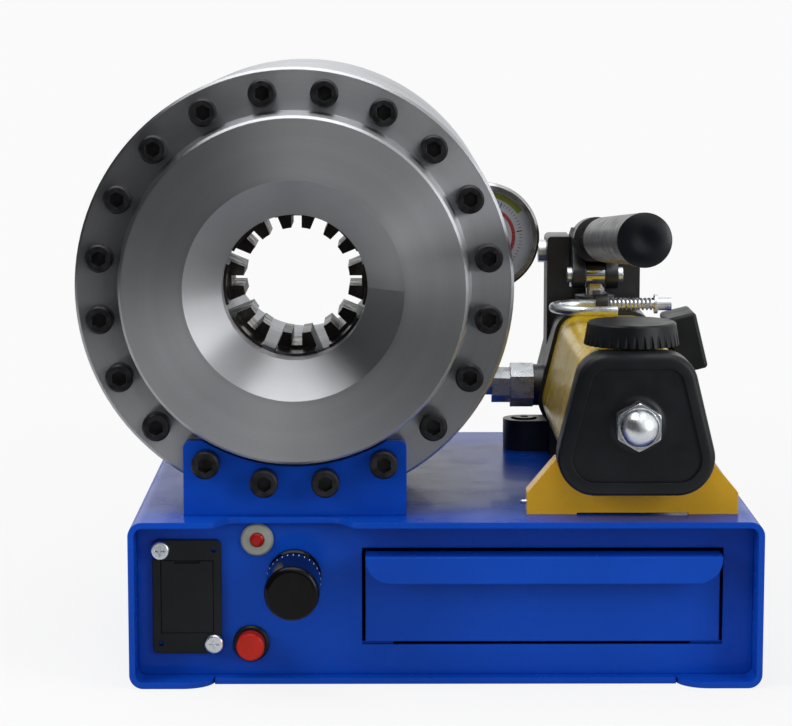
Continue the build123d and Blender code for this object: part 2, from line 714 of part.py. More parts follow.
def front_housing():
    """Front half of the head: bolted rim, raised boss, conical mouth and the jaw chamber."""
    r = HEAD_OD / 2
    bevel = RIM_CHAMFER
    mouth_y = BOSS_FACE + MOUTH_DEPTH
    body = turned([
        (THROAT_R, mouth_y), (MOUTH_R, BOSS_FACE), (BOSS_R - bevel, BOSS_FACE), (BOSS_R, BOSS_FACE + bevel),
        (BOSS_ROOT_R, FLANGE_FACE), (r - bevel, FLANGE_FACE), (r, FLANGE_FACE + bevel), (r, SPLIT_Y - bevel),
        (r - bevel, SPLIT_Y), (BORE_R, SPLIT_Y), (BORE_R, CAVITY_FRONT), (THROAT_R, CAVITY_FRONT)])
    for angle in screw_angles():
        x, z = screw_place(angle)
        body -= round_y(SCREW_R + SCREW_HOLE_PLAY, FLANGE_FACE - 1, SPLIT_Y + 1, x, z)
    return body


def rear_housing():
    """Rear half: cylinder bore, end wall, tapped holes and the oil ports."""
    r = HEAD_OD / 2
    bevel = RIM_CHAMFER
    hole = SLEEVE_OR + FIT
    body = turned([
        (BORE_R, SPLIT_Y), (r - bevel, SPLIT_Y), (r, SPLIT_Y + bevel), (r, HEAD_BACK - 2 * bevel),
        (r - 2 * bevel, HEAD_BACK), (SLEEVE_SHOULDER_R + FIT, HEAD_BACK),
        (SLEEVE_SHOULDER_R + FIT, HEAD_BACK - SLEEVE_SHOULDER_T), (hole, HEAD_BACK - SLEEVE_SHOULDER_T),
        (hole, CHAMBER_BACK), (BORE_R, CHAMBER_BACK)])
    for angle in screw_angles():
        x, z = screw_place(angle)
        body -= round_y(SCREW_R + FIT, SPLIT_Y - 1, SPLIT_Y + SCREW_BITE + 1, x, z)
        if in_bracket(x, z):
            body -= round_y(SCREW_R + FIT, HEAD_BACK - REAR_SCREW_BITE - 1, HEAD_BACK + 1, x, z)
    body -= round_y(STEM_R + FIT, CHAMBER_BACK - 1, HEAD_BACK + 1, PORT_X, gauge_block_z())
    body -= round_x(PIPE_R + FIT, union_inlet_x() - PIPE_BITE - 1, HEAD_X + HEAD_OD, UNION_Y, UNION_Z)
    return body


def inner_sleeve():
    """Tube inside the ring piston, with a shoulder in the end wall."""
    return turned([
        (SLEEVE_IR, SLEEVE_FRONT), (SLEEVE_OR, SLEEVE_FRONT), (SLEEVE_OR, HEAD_BACK - SLEEVE_SHOULDER_T),
        (SLEEVE_SHOULDER_R, HEAD_BACK - SLEEVE_SHOULDER_T), (SLEEVE_SHOULDER_R, HEAD_BACK),
        (SLEEVE_IR, HEAD_BACK)])


def wedge_apothem(y):
    """Distance from the head's axis to the jaws' sloping flats at y."""
    return JAW_APOTHEM - (y - JAW_FRONT) * SLOPE


def wedge_octagon(y, extra):
    """Eight-sided section of the sloping flats at y."""
    side = wedge_apothem(y) + extra
    face = Pos(HEAD_X, HEAD_Z) * RegularPolygon(side, JAW_COUNT, major_radius=False, rotation=180 / JAW_COUNT)
    return front_plane(y) * face


def ring_piston():
    """Annular piston: round outside, eight sloping flats inside that close the jaws."""
    seal_y = PISTON_BACK - SEAL_SETBACK
    outer = BORE_R - RUN
    inner = SLEEVE_OR + RUN
    body = turned([
        (inner, PISTON_FRONT), (outer - RIM_CHAMFER, PISTON_FRONT), (outer, PISTON_FRONT + RIM_CHAMFER),
        (outer, seal_y - SEAL_W), (outer - SEAL_DEPTH, seal_y - SEAL_W), (outer - SEAL_DEPTH, seal_y),
        (outer, seal_y), (outer, PISTON_BACK), (inner, PISTON_BACK), (inner, seal_y),
        (inner + SEAL_DEPTH, seal_y), (inner + SEAL_DEPTH, seal_y - SEAL_W), (inner, seal_y - SEAL_W)])
    play = WEDGE_PLAY / math.cos(math.radians(WEDGE_DEG))
    start = PISTON_FRONT - 1
    end = JAW_FRONT + (JAW_APOTHEM - SLEEVE_IR) / SLOPE
    cone = loft([wedge_octagon(start, play).faces()[0], wedge_octagon(end, play).faces()[0]], ruled=True)
    return body - cone


def piston_seals():
    """Outer and inner seal rings of the piston."""
    y1 = PISTON_BACK - SEAL_SETBACK - FIT
    y0 = y1 - SEAL_W + 2 * FIT
    outer = BORE_R - RUN / 2
    inner = SLEEVE_OR + RUN / 2
    outside = turned([(BORE_R - SEAL_DEPTH, y0), (outer, y0), (outer, y1), (BORE_R - SEAL_DEPTH, y1)])
    inside = turned([(inner, y0), (SLEEVE_OR + SEAL_DEPTH, y0), (SLEEVE_OR + SEAL_DEPTH, y1), (inner, y1)])
    return Compound([outside, inside])


def spring_bar(turn, radius, length):
    """Short bar across the gap between two jaws, at a direction in radians."""
    x = HEAD_X + SPRING_CIRCLE_R * math.cos(turn)
    z = HEAD_Z + SPRING_CIRCLE_R * math.sin(turn)
    along = (-math.sin(turn), 0, math.cos(turn))
    plane = Plane(origin=(x, JAW_FRONT + SPRING_SETBACK, z), z_dir=along)
    return plane * Cylinder(radius, length)


def jaw(index):
    """One of the eight jaws: sloping back, stepped nose and a slot along the crimping face."""
    turn = 2 * HALF_PITCH * index
    root = JAW_INNER_R * 3 / 4
    lead = math.tan(HALF_PITCH)
    shy = JAW_GAP / 2 / math.cos(HALF_PITCH)

    def section(y):
        top = wedge_apothem(y)
        points = [(root, root * lead - shy), (top, top * lead - shy), (top, shy - top * lead),
                  (root, shy - root * lead)]
        face = Pos(HEAD_X, HEAD_Z) * Rot(0, 0, math.degrees(turn)) * outline(points)
        return (front_plane(y) * face).faces()[0]

    body = loft([section(JAW_FRONT), section(JAW_BACK)], ruled=True)
    body -= round_y(JAW_INNER_R, JAW_FRONT - 1, JAW_BACK + 1, HEAD_X, HEAD_Z)
    body -= round_y(JAW_LEAD_R, JAW_FRONT - 1, JAW_FRONT + JAW_LEAD_LEN, HEAD_X, HEAD_Z)
    slot = Pos(HEAD_X, HEAD_Z) * Rot(0, 0, math.degrees(turn)) * Pos((JAW_INNER_R + JAW_SLOT_DEPTH) / 2, 0)
    slot *= Rectangle(JAW_INNER_R + JAW_SLOT_DEPTH, JAW_SLOT_W)
    body -= slab_y(slot, JAW_FRONT - 1, JAW_BACK + 1)
    depth = JAW_GAP + 2 * SPRING_POCKET
    for side in (-1, 1):
        body -= spring_bar(turn + side * HALF_PITCH, SPRING_OR + SEAT, depth)
    return body


def jaw_springs():
    """Springs that spread the jaws apart, each seated in two facing pockets."""
    length = JAW_GAP + 2 * SPRING_POCKET - 2 * SEAT
    coils = []
    for index in range(JAW_COUNT):
        turn = 2 * HALF_PITCH * index + HALF_PITCH
        coils.append(spring_bar(turn, SPRING_OR, length) - spring_bar(turn, SPRING_IR, 2 * length))
    return Compound(coils)


def cap_screw(x, z, seat, tip, facing):
    """Socket cap screw along Y; facing is -1 for a head toward the operator."""
    out = seat + facing * SCREW_HEAD_H
    y0, y1 = sorted((seat, out))
    head = round_y(SCREW_HEAD_R, y0, y1, x, z)
    rim = head.edges().group_by(Axis.Y)[0 if facing < 0 else -1]
    head = chamfer(rim, SCREW_HEAD_R / 8)
    y0, y1 = sorted((out + facing, out - facing * SCREW_HEX_DEPTH))
    head -= hexagon_y(SCREW_HEX_AF, y0, y1, x, z)
    y0, y1 = sorted((seat, tip))
    return head + round_y(SCREW_R, y0, y1, x, z)


def head_screws():
    """All socket cap screws of the head: the front circle and those of the rear bracket."""
    screws = []
    for angle in screw_angles():
        x, z = screw_place(angle)
        front_seat = BRACKET_FACE if in_bracket(x, z) else FLANGE_FACE
        screws.append(cap_screw(x, z, front_seat, SPLIT_Y + SCREW_BITE, -1))
        if in_bracket(x, z):
            screws.append(cap_screw(x, z, HEAD_BACK + BRACKET_T, HEAD_BACK - REAR_SCREW_BITE, 1))
    return Compound(screws)


def bracket(y0, y1, arc_r):
    """Upright plate welded to the cabinet, hollowed around the head's boss."""
    plate = Pos(HEAD_X, CAB_H + BRACKET_H / 2) * Rectangle(BRACKET_W, BRACKET_H)
    plate = fillet(plate.vertices().group_by(Axis.Y)[-1], BRACKET_CORNER_R)
    body = slab_y(plate, y0, y1)
    body -= round_y(arc_r, y0 - 1, y1 + 1, HEAD_X, HEAD_Z)
    for angle in screw_angles():
        x, z = screw_place(angle)
        if in_bracket(x, z):
            body -= round_y(SCREW_R + SCREW_HOLE_PLAY, y0 - 1, y1 + 1, x, z)
    return body


def front_bracket():
    """Bracket clamped by four of the front screws."""
    return bracket(BRACKET_FACE, FLANGE_FACE, BOSS_ROOT_R + BRACKET_ARC_GAP)


def rear_bracket():
    """Matching bracket behind the head."""
    return bracket(HEAD_BACK, HEAD_BACK + BRACKET_T, BOSS_ROOT_R + BRACKET_ARC_GAP)


# ---------------------------------------------------------------- gauge and pipe

def gauge_block_z():
    """Height of the gauge manifold's middle, below the case and its stem."""
    return GAUGE_Z - CASE_R - STEM_LEN - BLOCK_H / 2


def gauge_case():
    """Round cup of the gauge with its stem into the manifold."""
    back = CASE_FRONT + CASE_LEN
    front = CASE_FRONT + GLASS_T
    body = round_y(CASE_R, front, back, GAUGE_X, GAUGE_Z)
    body = fillet(body.edges().group_by(Axis.Y)[-1], CASE_WALL)
    body -= round_y(CASE_R - CASE_WALL, front - 1, back - CASE_WALL, GAUGE_X, GAUGE_Z)
    inner = CASE_R - CASE_WALL
    seat = GAUGE_FRONT + DIAL_SETBACK + DIAL_T
    ledge = [(inner - 2 * CASE_WALL, seat), (inner + CASE_WALL / 2, seat),
             (inner + CASE_WALL / 2, seat + CASE_WALL), (inner - 2 * CASE_WALL, seat + CASE_WALL)]
    body += turned(ledge, GAUGE_X, GAUGE_Z)
    top = GAUGE_Z - CASE_R + CASE_WALL / 2
    return body + round_z(STEM_R, gauge_block_z() + BLOCK_H / 4, top, GAUGE_X, CASE_MID)


def gauge_bezel():
    """Steel ring that holds the glass."""
    return turned([
        (BEZEL_LIP_R, GAUGE_FRONT), (BEZEL_R - BEZEL_LIP_T, GAUGE_FRONT), (BEZEL_R, GAUGE_FRONT + BEZEL_LIP_T),
        (BEZEL_R, GAUGE_FRONT + BEZEL_LEN), (CASE_R + FIT, GAUGE_FRONT + BEZEL_LEN),
        (CASE_R + FIT, CASE_FRONT), (BEZEL_LIP_R, CASE_FRONT)], GAUGE_X, GAUGE_Z)


def gauge_glass():
    """Flat window between the bezel's lip and the case."""
    return round_y(CASE_R, CASE_FRONT, CASE_FRONT + GLASS_T, GAUGE_X, GAUGE_Z)


def gauge_dial():
    """Dial plate."""
    y0 = GAUGE_FRONT + DIAL_SETBACK
    dial = round_y(CASE_R - CASE_WALL - FIT, y0, y0 + DIAL_T, GAUGE_X, GAUGE_Z)
    return dial - round_y(POINTER_SHAFT_R + RUN, y0 - 1, y0 + DIAL_T + 1, GAUGE_X, GAUGE_Z)


def gauge_pointer():
    """Tapered pointer on its shaft."""
    y1 = GAUGE_FRONT + DIAL_SETBACK - SEAT
    y0 = y1 - POINTER_T
    tail = POINTER_LEN / 3
    blade = outline([(-tail, POINTER_W / 2), (POINTER_LEN, POINTER_W / 8), (POINTER_LEN, -POINTER_W / 8),
                     (-tail, -POINTER_W / 2)])
    blade = Pos(GAUGE_X, GAUGE_Z) * Rot(0, 0, POINTER_ZERO_DEG) * blade
    body = slab_y(blade, y0, y1) + round_y(POINTER_HUB_R, y0, y1, GAUGE_X, GAUGE_Z)
    return body + round_y(POINTER_SHAFT_R, y0, y1 + 2 * CASE_WALL, GAUGE_X, GAUGE_Z)


def gauge_manifold():
    """Bar that carries the gauge and leads the pressure from the head's rear port."""
    z0 = gauge_block_z() - BLOCK_H / 2
    y0 = CASE_MID - BLOCK_D / 2
    body = block(PORT_X - BLOCK_H / 2, GAUGE_X + BLOCK_H / 2, y0, y0 + BLOCK_D, z0, z0 + BLOCK_H)
    body = chamfer(body.edges(), BLOCK_BEVEL)
    body -= round_z(STEM_R + FIT, gauge_block_z() + BLOCK_H / 4, z0 + BLOCK_H + 1, GAUGE_X, CASE_MID)
    nipple = round_y(STEM_R, HEAD_BACK - PORT_DEPTH, y0 + 1, PORT_X, gauge_block_z())
    return body + nipple + hexagon_y(BLOCK_H - 1, HEAD_BACK, y0, PORT_X, gauge_block_z())


def union_inlet_x():
    """Where the supply pipe meets the rear housing's round side."""
    drop = HEAD_Z - UNION_Z
    return HEAD_X + math.sqrt((HEAD_OD / 2) ** 2 - drop ** 2)


def supply_nipple():
    """Steel pipe from the rear housing with its hexagon."""
    x1 = UNION_FACE_X - UNION_NUT_LEN
    body = round_x(PIPE_R, union_inlet_x() - PIPE_BITE, x1, UNION_Y, UNION_Z)
    return body + hexagon_x(NIPPLE_HEX_AF, x1 - NIPPLE_HEX_LEN, x1, UNION_Y, UNION_Z)


def union_nut():
    """Larger hexagon with its spigot in the pump head's boss."""
    x0 = UNION_FACE_X - UNION_NUT_LEN
    nut = hexagon_x(UNION_NUT_AF, x0, UNION_FACE_X, UNION_Y, UNION_Z)
    return nut + round_x(PIPE_R, UNION_FACE_X, UNION_FACE_X + NIPPLE_HEX_LEN, UNION_Y, UNION_Z)


# ---------------------------------------------------------------- hand pump

def tank_outline(grow):
    """Rounded section of the tank with leaning sides, grown outward by a margin."""
    top_half = TANK_FOOT_HALF - FLANK_LEAN * TANK_H
    face = outline([(PUMP_X - TANK_FOOT_HALF, TANK_BOTTOM), (PUMP_X + TANK_FOOT_HALF, TANK_BOTTOM),
                    (PUMP_X + top_half, TANK_TOP), (PUMP_X - top_half, TANK_TOP)])
    face = fillet(face.vertices().group_by(Axis.Y)[0], TANK_LOW_R)
    face = fillet(face.vertices().group_by(Axis.Y)[-1], TANK_HIGH_R)
    if grow:
        face = offset(face, amount=grow, kind=Kind.ARC)
    return face


def pump_tank():
    """Oil tank: a hollow section with the filler neck on top."""
    front = CAP_FRONT + CAP_WALL
    body = slab_y(tank_outline(0), front, TANK_BACK)
    body += round_z(NECK_R, TANK_TOP - TANK_WALL, TANK_TOP + NECK_H, PUMP_X, FILLER_Y)
    body -= slab_y(tank_outline(-TANK_WALL), front - 1, TANK_BACK + 1)
    return body - round_z(NECK_BORE_R, TANK_TOP - 2 * TANK_WALL, TANK_TOP + NECK_H + 1, PUMP_X, FILLER_Y)


def tank_end_cap():
    """Deep black cap over the tank's front end, with softened edges."""
    body = slab_y(tank_outline(CAP_RIM), CAP_FRONT, CAP_BACK)
    body = fillet(body.faces().sort_by(Axis.Y)[0].edges(), CAP_EDGE_R)
    body -= slab_y(tank_outline(FIT), CAP_FRONT + CAP_WALL, CAP_BACK + 1)
    return body - round_y(TIE_R + SEAT, CAP_FRONT - 1, CAP_BACK, PUMP_X, TIE_Z)


def tie_rod():
    """Long stud that clamps the end cap and the tank to the pump head."""
    return round_y(TIE_R, CAP_FRONT - ACORN_HEX_H - TIE_R / 2, TANK_BACK + TIE_BITE, PUMP_X, TIE_Z)


def acorn_nut():
    """Domed cap nut."""
    y0 = CAP_FRONT - ACORN_HEX_H
    nut = hexagon_y(ACORN_AF, y0, CAP_FRONT, PUMP_X, TIE_Z)
    cone = turned([(0, y0 - 1), (ACORN_AF / 2, y0 - 1), (ACORN_AF / 2 + ACORN_HEX_H, y0 - 1 + ACORN_HEX_H),
                   (ACORN_AF / 2 + ACORN_HEX_H, CAP_FRONT), (0, CAP_FRONT)], PUMP_X, TIE_Z)
    nut = nut & cone
    nut += Pos(PUMP_X, y0, TIE_Z) * Sphere(ACORN_DOME_R)
    bore_y = CAP_FRONT - ACORN_HEX_H - TIE_R / 2 - FIT
    return nut - round_y(TIE_R + FIT, bore_y, CAP_FRONT + 2 * ACORN_HEX_H, PUMP_X, TIE_Z)


def front_foot():
    """Folded plate foot: sloping shoulders, side returns and a relieved lower edge."""
    def foot_face(margin):
        half = FOOT_W / 2 - margin
        top_half = FOOT_TOP_W / 2 - margin
        knee = CAB_H + FOOT_SHOULDER - margin / 2
        return outline([(PUMP_X - half, CAB_H - margin), (PUMP_X + half, CAB_H - margin),
                        (PUMP_X + half, knee), (PUMP_X + top_half, CAB_H + FOOT_H),
                        (PUMP_X - top_half, CAB_H + FOOT_H), (PUMP_X - half, knee)])

    body = slab_y(foot_face(0), CAP_BACK, CAP_BACK + FOOT_RETURN)
    body -= slab_y(foot_face(FOOT_T), CAP_BACK + FOOT_T, CAP_BACK + FOOT_RETURN + 1)
    body -= slab_y(tank_outline(FIT), CAP_BACK - 1, CAP_BACK + FOOT_RETURN + 1)
    half = FOOT_RELIEF_W / 2
    relief = block(PUMP_X - half, PUMP_X + half, CAP_BACK - 1, CAP_BACK + FOOT_T + 1,
                   CAB_H - 1, CAB_H + FOOT_RELIEF)
    return body - relief


def filler_cap():
    """Ribbed screw cap, a little wider at its foot, with its plug in the neck."""
    z0 = TANK_TOP + NECK_H + SEAT
    z1 = z0 + FILLER_H
    profile = outline([(0, z0 - FILLER_PLUG_LEN), (NECK_BORE_R - RUN, z0 - FILLER_PLUG_LEN),
                       (NECK_BORE_R - RUN, z0), (FILLER_R, z0), (FILLER_TOP_R, z1 - 1),
                       (FILLER_TOP_R - 1, z1), (0, z1)])
    plane = Plane(origin=(PUMP_X, FILLER_Y, 0), x_dir=(1, 0, 0), z_dir=(0, -1, 0))
    cap = revolve(plane * profile, axis=Axis((PUMP_X, FILLER_Y, 0), (0, 0, 1)))
    for i in range(FILLER_RIBS):
        turn = 2 * math.pi * i / FILLER_RIBS
        x = PUMP_X + FILLER_R * math.cos(turn)
        y = FILLER_Y + FILLER_R * math.sin(turn)
        cap -= round_z(FILLER_RIB_R, z0 - 1, z1 - 2, x, y)
    return cap


def pump_head():
    """Black casting: leaning body, mounting ears, slotted tower, plunger gland and hook lug."""
    body = slab_y(tank_outline(PUMP_HEAD_RIM), TANK_BACK, PUMP_HEAD_BACK)
    half = PUMP_SOLE_W / 2
    body += block(PUMP_X - half, PUMP_X + half, TANK_BACK, PUMP_HEAD_BACK, CAB_H, TANK_BOTTOM + TANK_LOW_R)
    for side in (-1, 1):
        x = PUMP_X + side * EAR_REACH
        x0, x1 = sorted((x, PUMP_X))
        body += round_z(EAR_R, CAB_H, CAB_H + EAR_H, x, EAR_Y)
        body += block(x0, x1, EAR_Y - EAR_R, EAR_Y + EAR_R, CAB_H, CAB_H + EAR_H)
    tower = block(TOWER_X0, TOWER_X1, TOWER_FRONT, PUMP_HEAD_BACK, TIE_Z, TOWER_TOP)
    tower = fillet(tower.edges().filter_by(Axis.Y).group_by(Axis.Z)[-1], TOWER_EDGE_R)
    body += tower
    body += round_z(GLAND_R, TIE_Z, TANK_TOP + PUMP_HEAD_RIM + GLAND_H, lever_x(), PLUNGER_Y)
    body += bail_lug()
    slot = LEVER_W / 2 + LEVER_PLAY
    body -= block(lever_x() - slot, lever_x() + slot, TOWER_FRONT - 1, PUMP_HEAD_BACK + 1,
                  PLUNGER_PIN_Z - LEVER_EYE_R - LEVER_PLAY, TOWER_TOP + 1)
    body -= round_z(PLUNGER_R + RUN, plunger_foot() - SEAT, TOWER_TOP, lever_x(), PLUNGER_Y)
    body -= round_x(PIVOT_R + FIT, TOWER_X0 - 1, TOWER_X1 + 1, PIVOT_Y, PIVOT_Z)
    body += round_x(UNION_BOSS_R, UNION_FACE_X, PUMP_X - half / 2, UNION_Y, UNION_Z)
    body -= round_x(PIPE_R + FIT, UNION_FACE_X - 1, UNION_FACE_X + NIPPLE_HEX_LEN, UNION_Y, UNION_Z)
    body -= round_y(TIE_R + FIT, TANK_BACK - 1, TANK_BACK + TIE_BITE, PUMP_X, TIE_Z)
    stem_hole = Cylinder(VALVE_STEM_R + RUN, VALVE_STEM_BITE + 2 * SEAT)
    body -= flank_plane() * Pos(0, 0, -VALVE_STEM_BITE / 2) * stem_hole
    for side in (-1, 1):
        x = PUMP_X + side * EAR_REACH
        body -= round_z(EAR_SCREW_R + FIT, CAB_H - 1, CAB_H + EAR_H + 1, x, EAR_Y)
        body -= round_z(EAR_SINK_R, CAB_H + EAR_H - EAR_SINK, CAB_H + EAR_H + 1, x, EAR_Y)
    return body


def lever_x():
    """Middle of the lever, the plunger and the handle."""
    return HANDLE_X


def plunger_foot():
    """Lowest point of the plunger at rest."""
    return TANK_TOP - PLUNGER_DEPTH


def bail_lug():
    """Lug on the plunger gland's front that guides the locking hook."""
    x0 = BAIL_LUG_X - BAIL_LUG_T / 2
    x1 = x0 + BAIL_LUG_T
    lug = round_x(BAIL_LUG_R, x0, x1, BAIL_BACK_Y, BAIL_Z)
    lug += block(x0, x1, BAIL_BACK_Y, PLUNGER_Y, BAIL_Z - BAIL_LUG_R, BAIL_Z + BAIL_LUG_R)
    return lug - round_x(BAIL_R + RUN, x0 - 1, x1 + 1, BAIL_BACK_Y, BAIL_Z)


def pump_screws():
    """Socket screws through the pump's ears into the cabinet."""
    seat = CAB_H + EAR_H - EAR_SINK
    screws = []
    for side in (-1, 1):
        x = PUMP_X + side * EAR_REACH
        head = round_z(SCREW_HEAD_R - 1, seat, seat + EAR_SCREW_R * 2, x, EAR_Y)
        socket = RegularPolygon(EAR_SCREW_R * 3 / 4, 6)
        head -= extrude(Pos(x, EAR_Y, seat + EAR_SCREW_R) * socket, amount=2 * EAR_SCREW_R)
        screws.append(head + round_z(EAR_SCREW_R, CAB_H - 3 * SHEET, seat, x, EAR_Y))
    return Compound(screws)


def flank_plane():
    """Plane on the pump head's right flank, facing outward."""
    lean = math.atan(FLANK_LEAN)
    x = PUMP_X + TANK_FOOT_HALF - FLANK_LEAN * (VALVE_Z - TANK_BOTTOM) + PUMP_HEAD_RIM / math.cos(lean)
    return Plane(origin=(x, VALVE_Y, VALVE_Z), x_dir=(0, 1, 0), z_dir=(math.cos(lean), 0, math.sin(lean)))


def release_knob():
    """Block-shaped knob of the release valve on its stem."""
    grip = Pos(0, 0, VALVE_STANDOFF + VALVE_T / 2) * Box(VALVE_W, VALVE_H, VALVE_T)
    grip = fillet(grip.edges(), VALVE_EDGE_R)
    length = VALVE_STANDOFF + VALVE_STEM_BITE
    stem = Pos(0, 0, VALVE_STANDOFF - length / 2) * Cylinder(VALVE_STEM_R, length)
    return flank_plane() * (grip + stem)


def plunger():
    """Pump plunger: ground rod with a flat tongue and an eye at the top."""
    x = lever_x()
    half = PLUNGER_TONGUE_W / 2
    shoulder = PLUNGER_PIN_Z - PLUNGER_EYE_LIFT
    rod = round_z(PLUNGER_R, plunger_foot(), shoulder, x, PLUNGER_Y)
    eye = round_x(PLUNGER_EYE_R, x - half, x + half, PLUNGER_Y, PLUNGER_PIN_Z)
    neck = round_z(PLUNGER_R, shoulder - 1, PLUNGER_PIN_Z, x, PLUNGER_Y)
    neck &= block(x - half, x + half, PLUNGER_Y - half, PLUNGER_Y + half, shoulder - 1, PLUNGER_PIN_Z)
    eye += neck
    return rod + eye - round_x(PLUNGER_PIN_R + FIT, x - 2 * half, x + 2 * half, PLUNGER_Y, PLUNGER_PIN_Z)


def plunger_pin():
    """Cross pin with round heads that drives the plunger."""
    x = lever_x()
    reach = LEVER_W / 2 + SEAT
    pin = round_x(PLUNGER_PIN_R, x - reach, x + reach, PLUNGER_Y, PLUNGER_PIN_Z)
    for side in (-1, 1):
        x0, x1 = sorted((x + side * reach, x + side * (reach + PLUNGER_PIN_OVERHANG)))
        pin += round_x(PLUNGER_PIN_R + 1, x0, x1, PLUNGER_Y, PLUNGER_PIN_Z)
    return pin


def handle_axis(y):
    """Height of the handle's centre line at y."""
    return PIVOT_Z + SOCKET_RISE + (SOCKET_BACK - y) * math.tan(math.radians(HANDLE_TILT))


def handle_plane():
    """Plane at the socket's back end whose z runs out along the handle."""
    tilt = math.radians(HANDLE_TILT)
    return Plane(origin=(lever_x(), SOCKET_BACK, handle_axis(SOCKET_BACK)), x_dir=(1, 0, 0),
                 z_dir=(0, -math.cos(tilt), math.sin(tilt)))


def lever():
    """Pump lever: pivot eye, slotted plunger eye and the handle socket in one casting."""
    x = lever_x()
    half = LEVER_W / 2
    pin_r = PLUNGER_PIN_R + PLUNGER_PIN_SLOP
    rim = [Pos(PIVOT_Y, PIVOT_Z) * Circle(PIVOT_BOSS_R), Pos(PLUNGER_Y, PLUNGER_PIN_Z) * Circle(LEVER_EYE_R),
           Pos(SOCKET_BACK - LEVER_EYE_R, handle_axis(SOCKET_BACK)) * Circle(LEVER_EYE_R)]
    hull = make_hull([edge for face in rim for edge in face.edges()])
    body = slab_x(hull, x - half, x + half)
    body += handle_plane() * Pos(0, 0, SOCKET_LEN / 2) * Cylinder(SOCKET_R, SOCKET_LEN)
    body -= handle_plane() * Pos(0, 0, SOCKET_LEN / 3 + SOCKET_LEN / 2) * Cylinder(TUBE_R + FIT, SOCKET_LEN)
    gap = PLUNGER_TONGUE_W / 2 + LEVER_PLAY
    body -= block(x - gap, x + gap, PLUNGER_Y - 2 * LEVER_EYE_R, PLUNGER_Y + 2 * PLUNGER_EYE_R,
                  CAB_H, PLUNGER_PIN_Z + PLUNGER_EYE_R + 2)
    slot = Pos(PLUNGER_Y, PLUNGER_PIN_Z) * Rot(0, 0, -HANDLE_START_DEG) * SlotCenterToCenter(pin_r, 2 * pin_r)
    body -= slab_x(slot, x - half - 1, x + half + 1)
    return body - round_x(PIVOT_R + RUN, x - half - 1, x + half + 1, PIVOT_Y, PIVOT_Z)


def pivot_pin():
    """Headed pin through the tower and the lever."""
    pin = round_x(PIVOT_R, TOWER_X0, TOWER_X1 + PIVOT_HEAD_T, PIVOT_Y, PIVOT_Z)
    pin += round_x(PIVOT_HEAD_R, TOWER_X0 - PIVOT_HEAD_T, TOWER_X0, PIVOT_Y, PIVOT_Z)
    return pin + round_x(PIVOT_HEAD_R, TOWER_X1, TOWER_X1 + PIVOT_HEAD_T / 2, PIVOT_Y, PIVOT_Z)


def handle_tube():
    """Chromed tube in the lever's socket."""
    start = SOCKET_LEN / 3
    length = HANDLE_REACH - start - GRIP_TIP_R
    tube = Pos(0, 0, start + length / 2) * (Cylinder(TUBE_R, length) - Cylinder(TUBE_R - TUBE_WALL, length))
    return handle_plane() * tube


def handle_grip():
    """Round grip with a domed end over the tube."""
    start = HANDLE_REACH - GRIP_LEN
    grip = Pos(0, 0, start + GRIP_LEN / 2) * Cylinder(GRIP_R, GRIP_LEN)
    grip = fillet(grip.edges().group_by(Axis.Z)[-1], GRIP_TIP_R)
    grip = fillet(grip.edges().group_by(Axis.Z)[0], GRIP_LIP_R)
    bore = GRIP_LEN - GRIP_TIP_R
    grip -= Pos(0, 0, start + bore / 2) * Cylinder(TUBE_R + FIT, bore)
    return handle_plane() * grip


def lock_bail():
    """Bent rod hook that holds the handle down, with its washer and upset tip."""
    front_y = BAIL_BACK_Y - BAIL_SPAN
    bend = BAIL_SPAN / 2
    mid_y = BAIL_BACK_Y - bend
    start_x = BAIL_LEFT_X + bend
    path = Line((BAIL_FRONT_END, front_y, BAIL_Z), (start_x, front_y, BAIL_Z))
    path += ThreePointArc((start_x, front_y, BAIL_Z), (BAIL_LEFT_X, mid_y, BAIL_Z),
                          (start_x, BAIL_BACK_Y, BAIL_Z))
    path += Line((start_x, BAIL_BACK_Y, BAIL_Z), (BAIL_TIP_X, BAIL_BACK_Y, BAIL_Z))
    section = Plane(origin=(BAIL_FRONT_END, front_y, BAIL_Z), z_dir=(-1, 0, 0)) * Circle(BAIL_R)
    rod = sweep(section, path=path)
    rod += round_x(BAIL_TIP_R, BAIL_WASHER_X + BAIL_WASHER_T, BAIL_TIP_X, BAIL_BACK_Y, BAIL_Z)
    return rod + round_x(BAIL_WASHER_R, BAIL_WASHER_X, BAIL_WASHER_X + BAIL_WASHER_T, BAIL_BACK_Y, BAIL_Z)


def lock_spring():
    """Spring between the lug and the hook's washer, as a plain sleeve."""
    x0 = BAIL_LUG_X + BAIL_LUG_T / 2
    x1 = BAIL_WASHER_X
    coil = round_x(BAIL_SPRING_OR, x0, x1, BAIL_BACK_Y, BAIL_Z)
    return coil - round_x(BAIL_SPRING_IR, x0 - 1, x1 + 1, BAIL_BACK_Y, BAIL_Z)


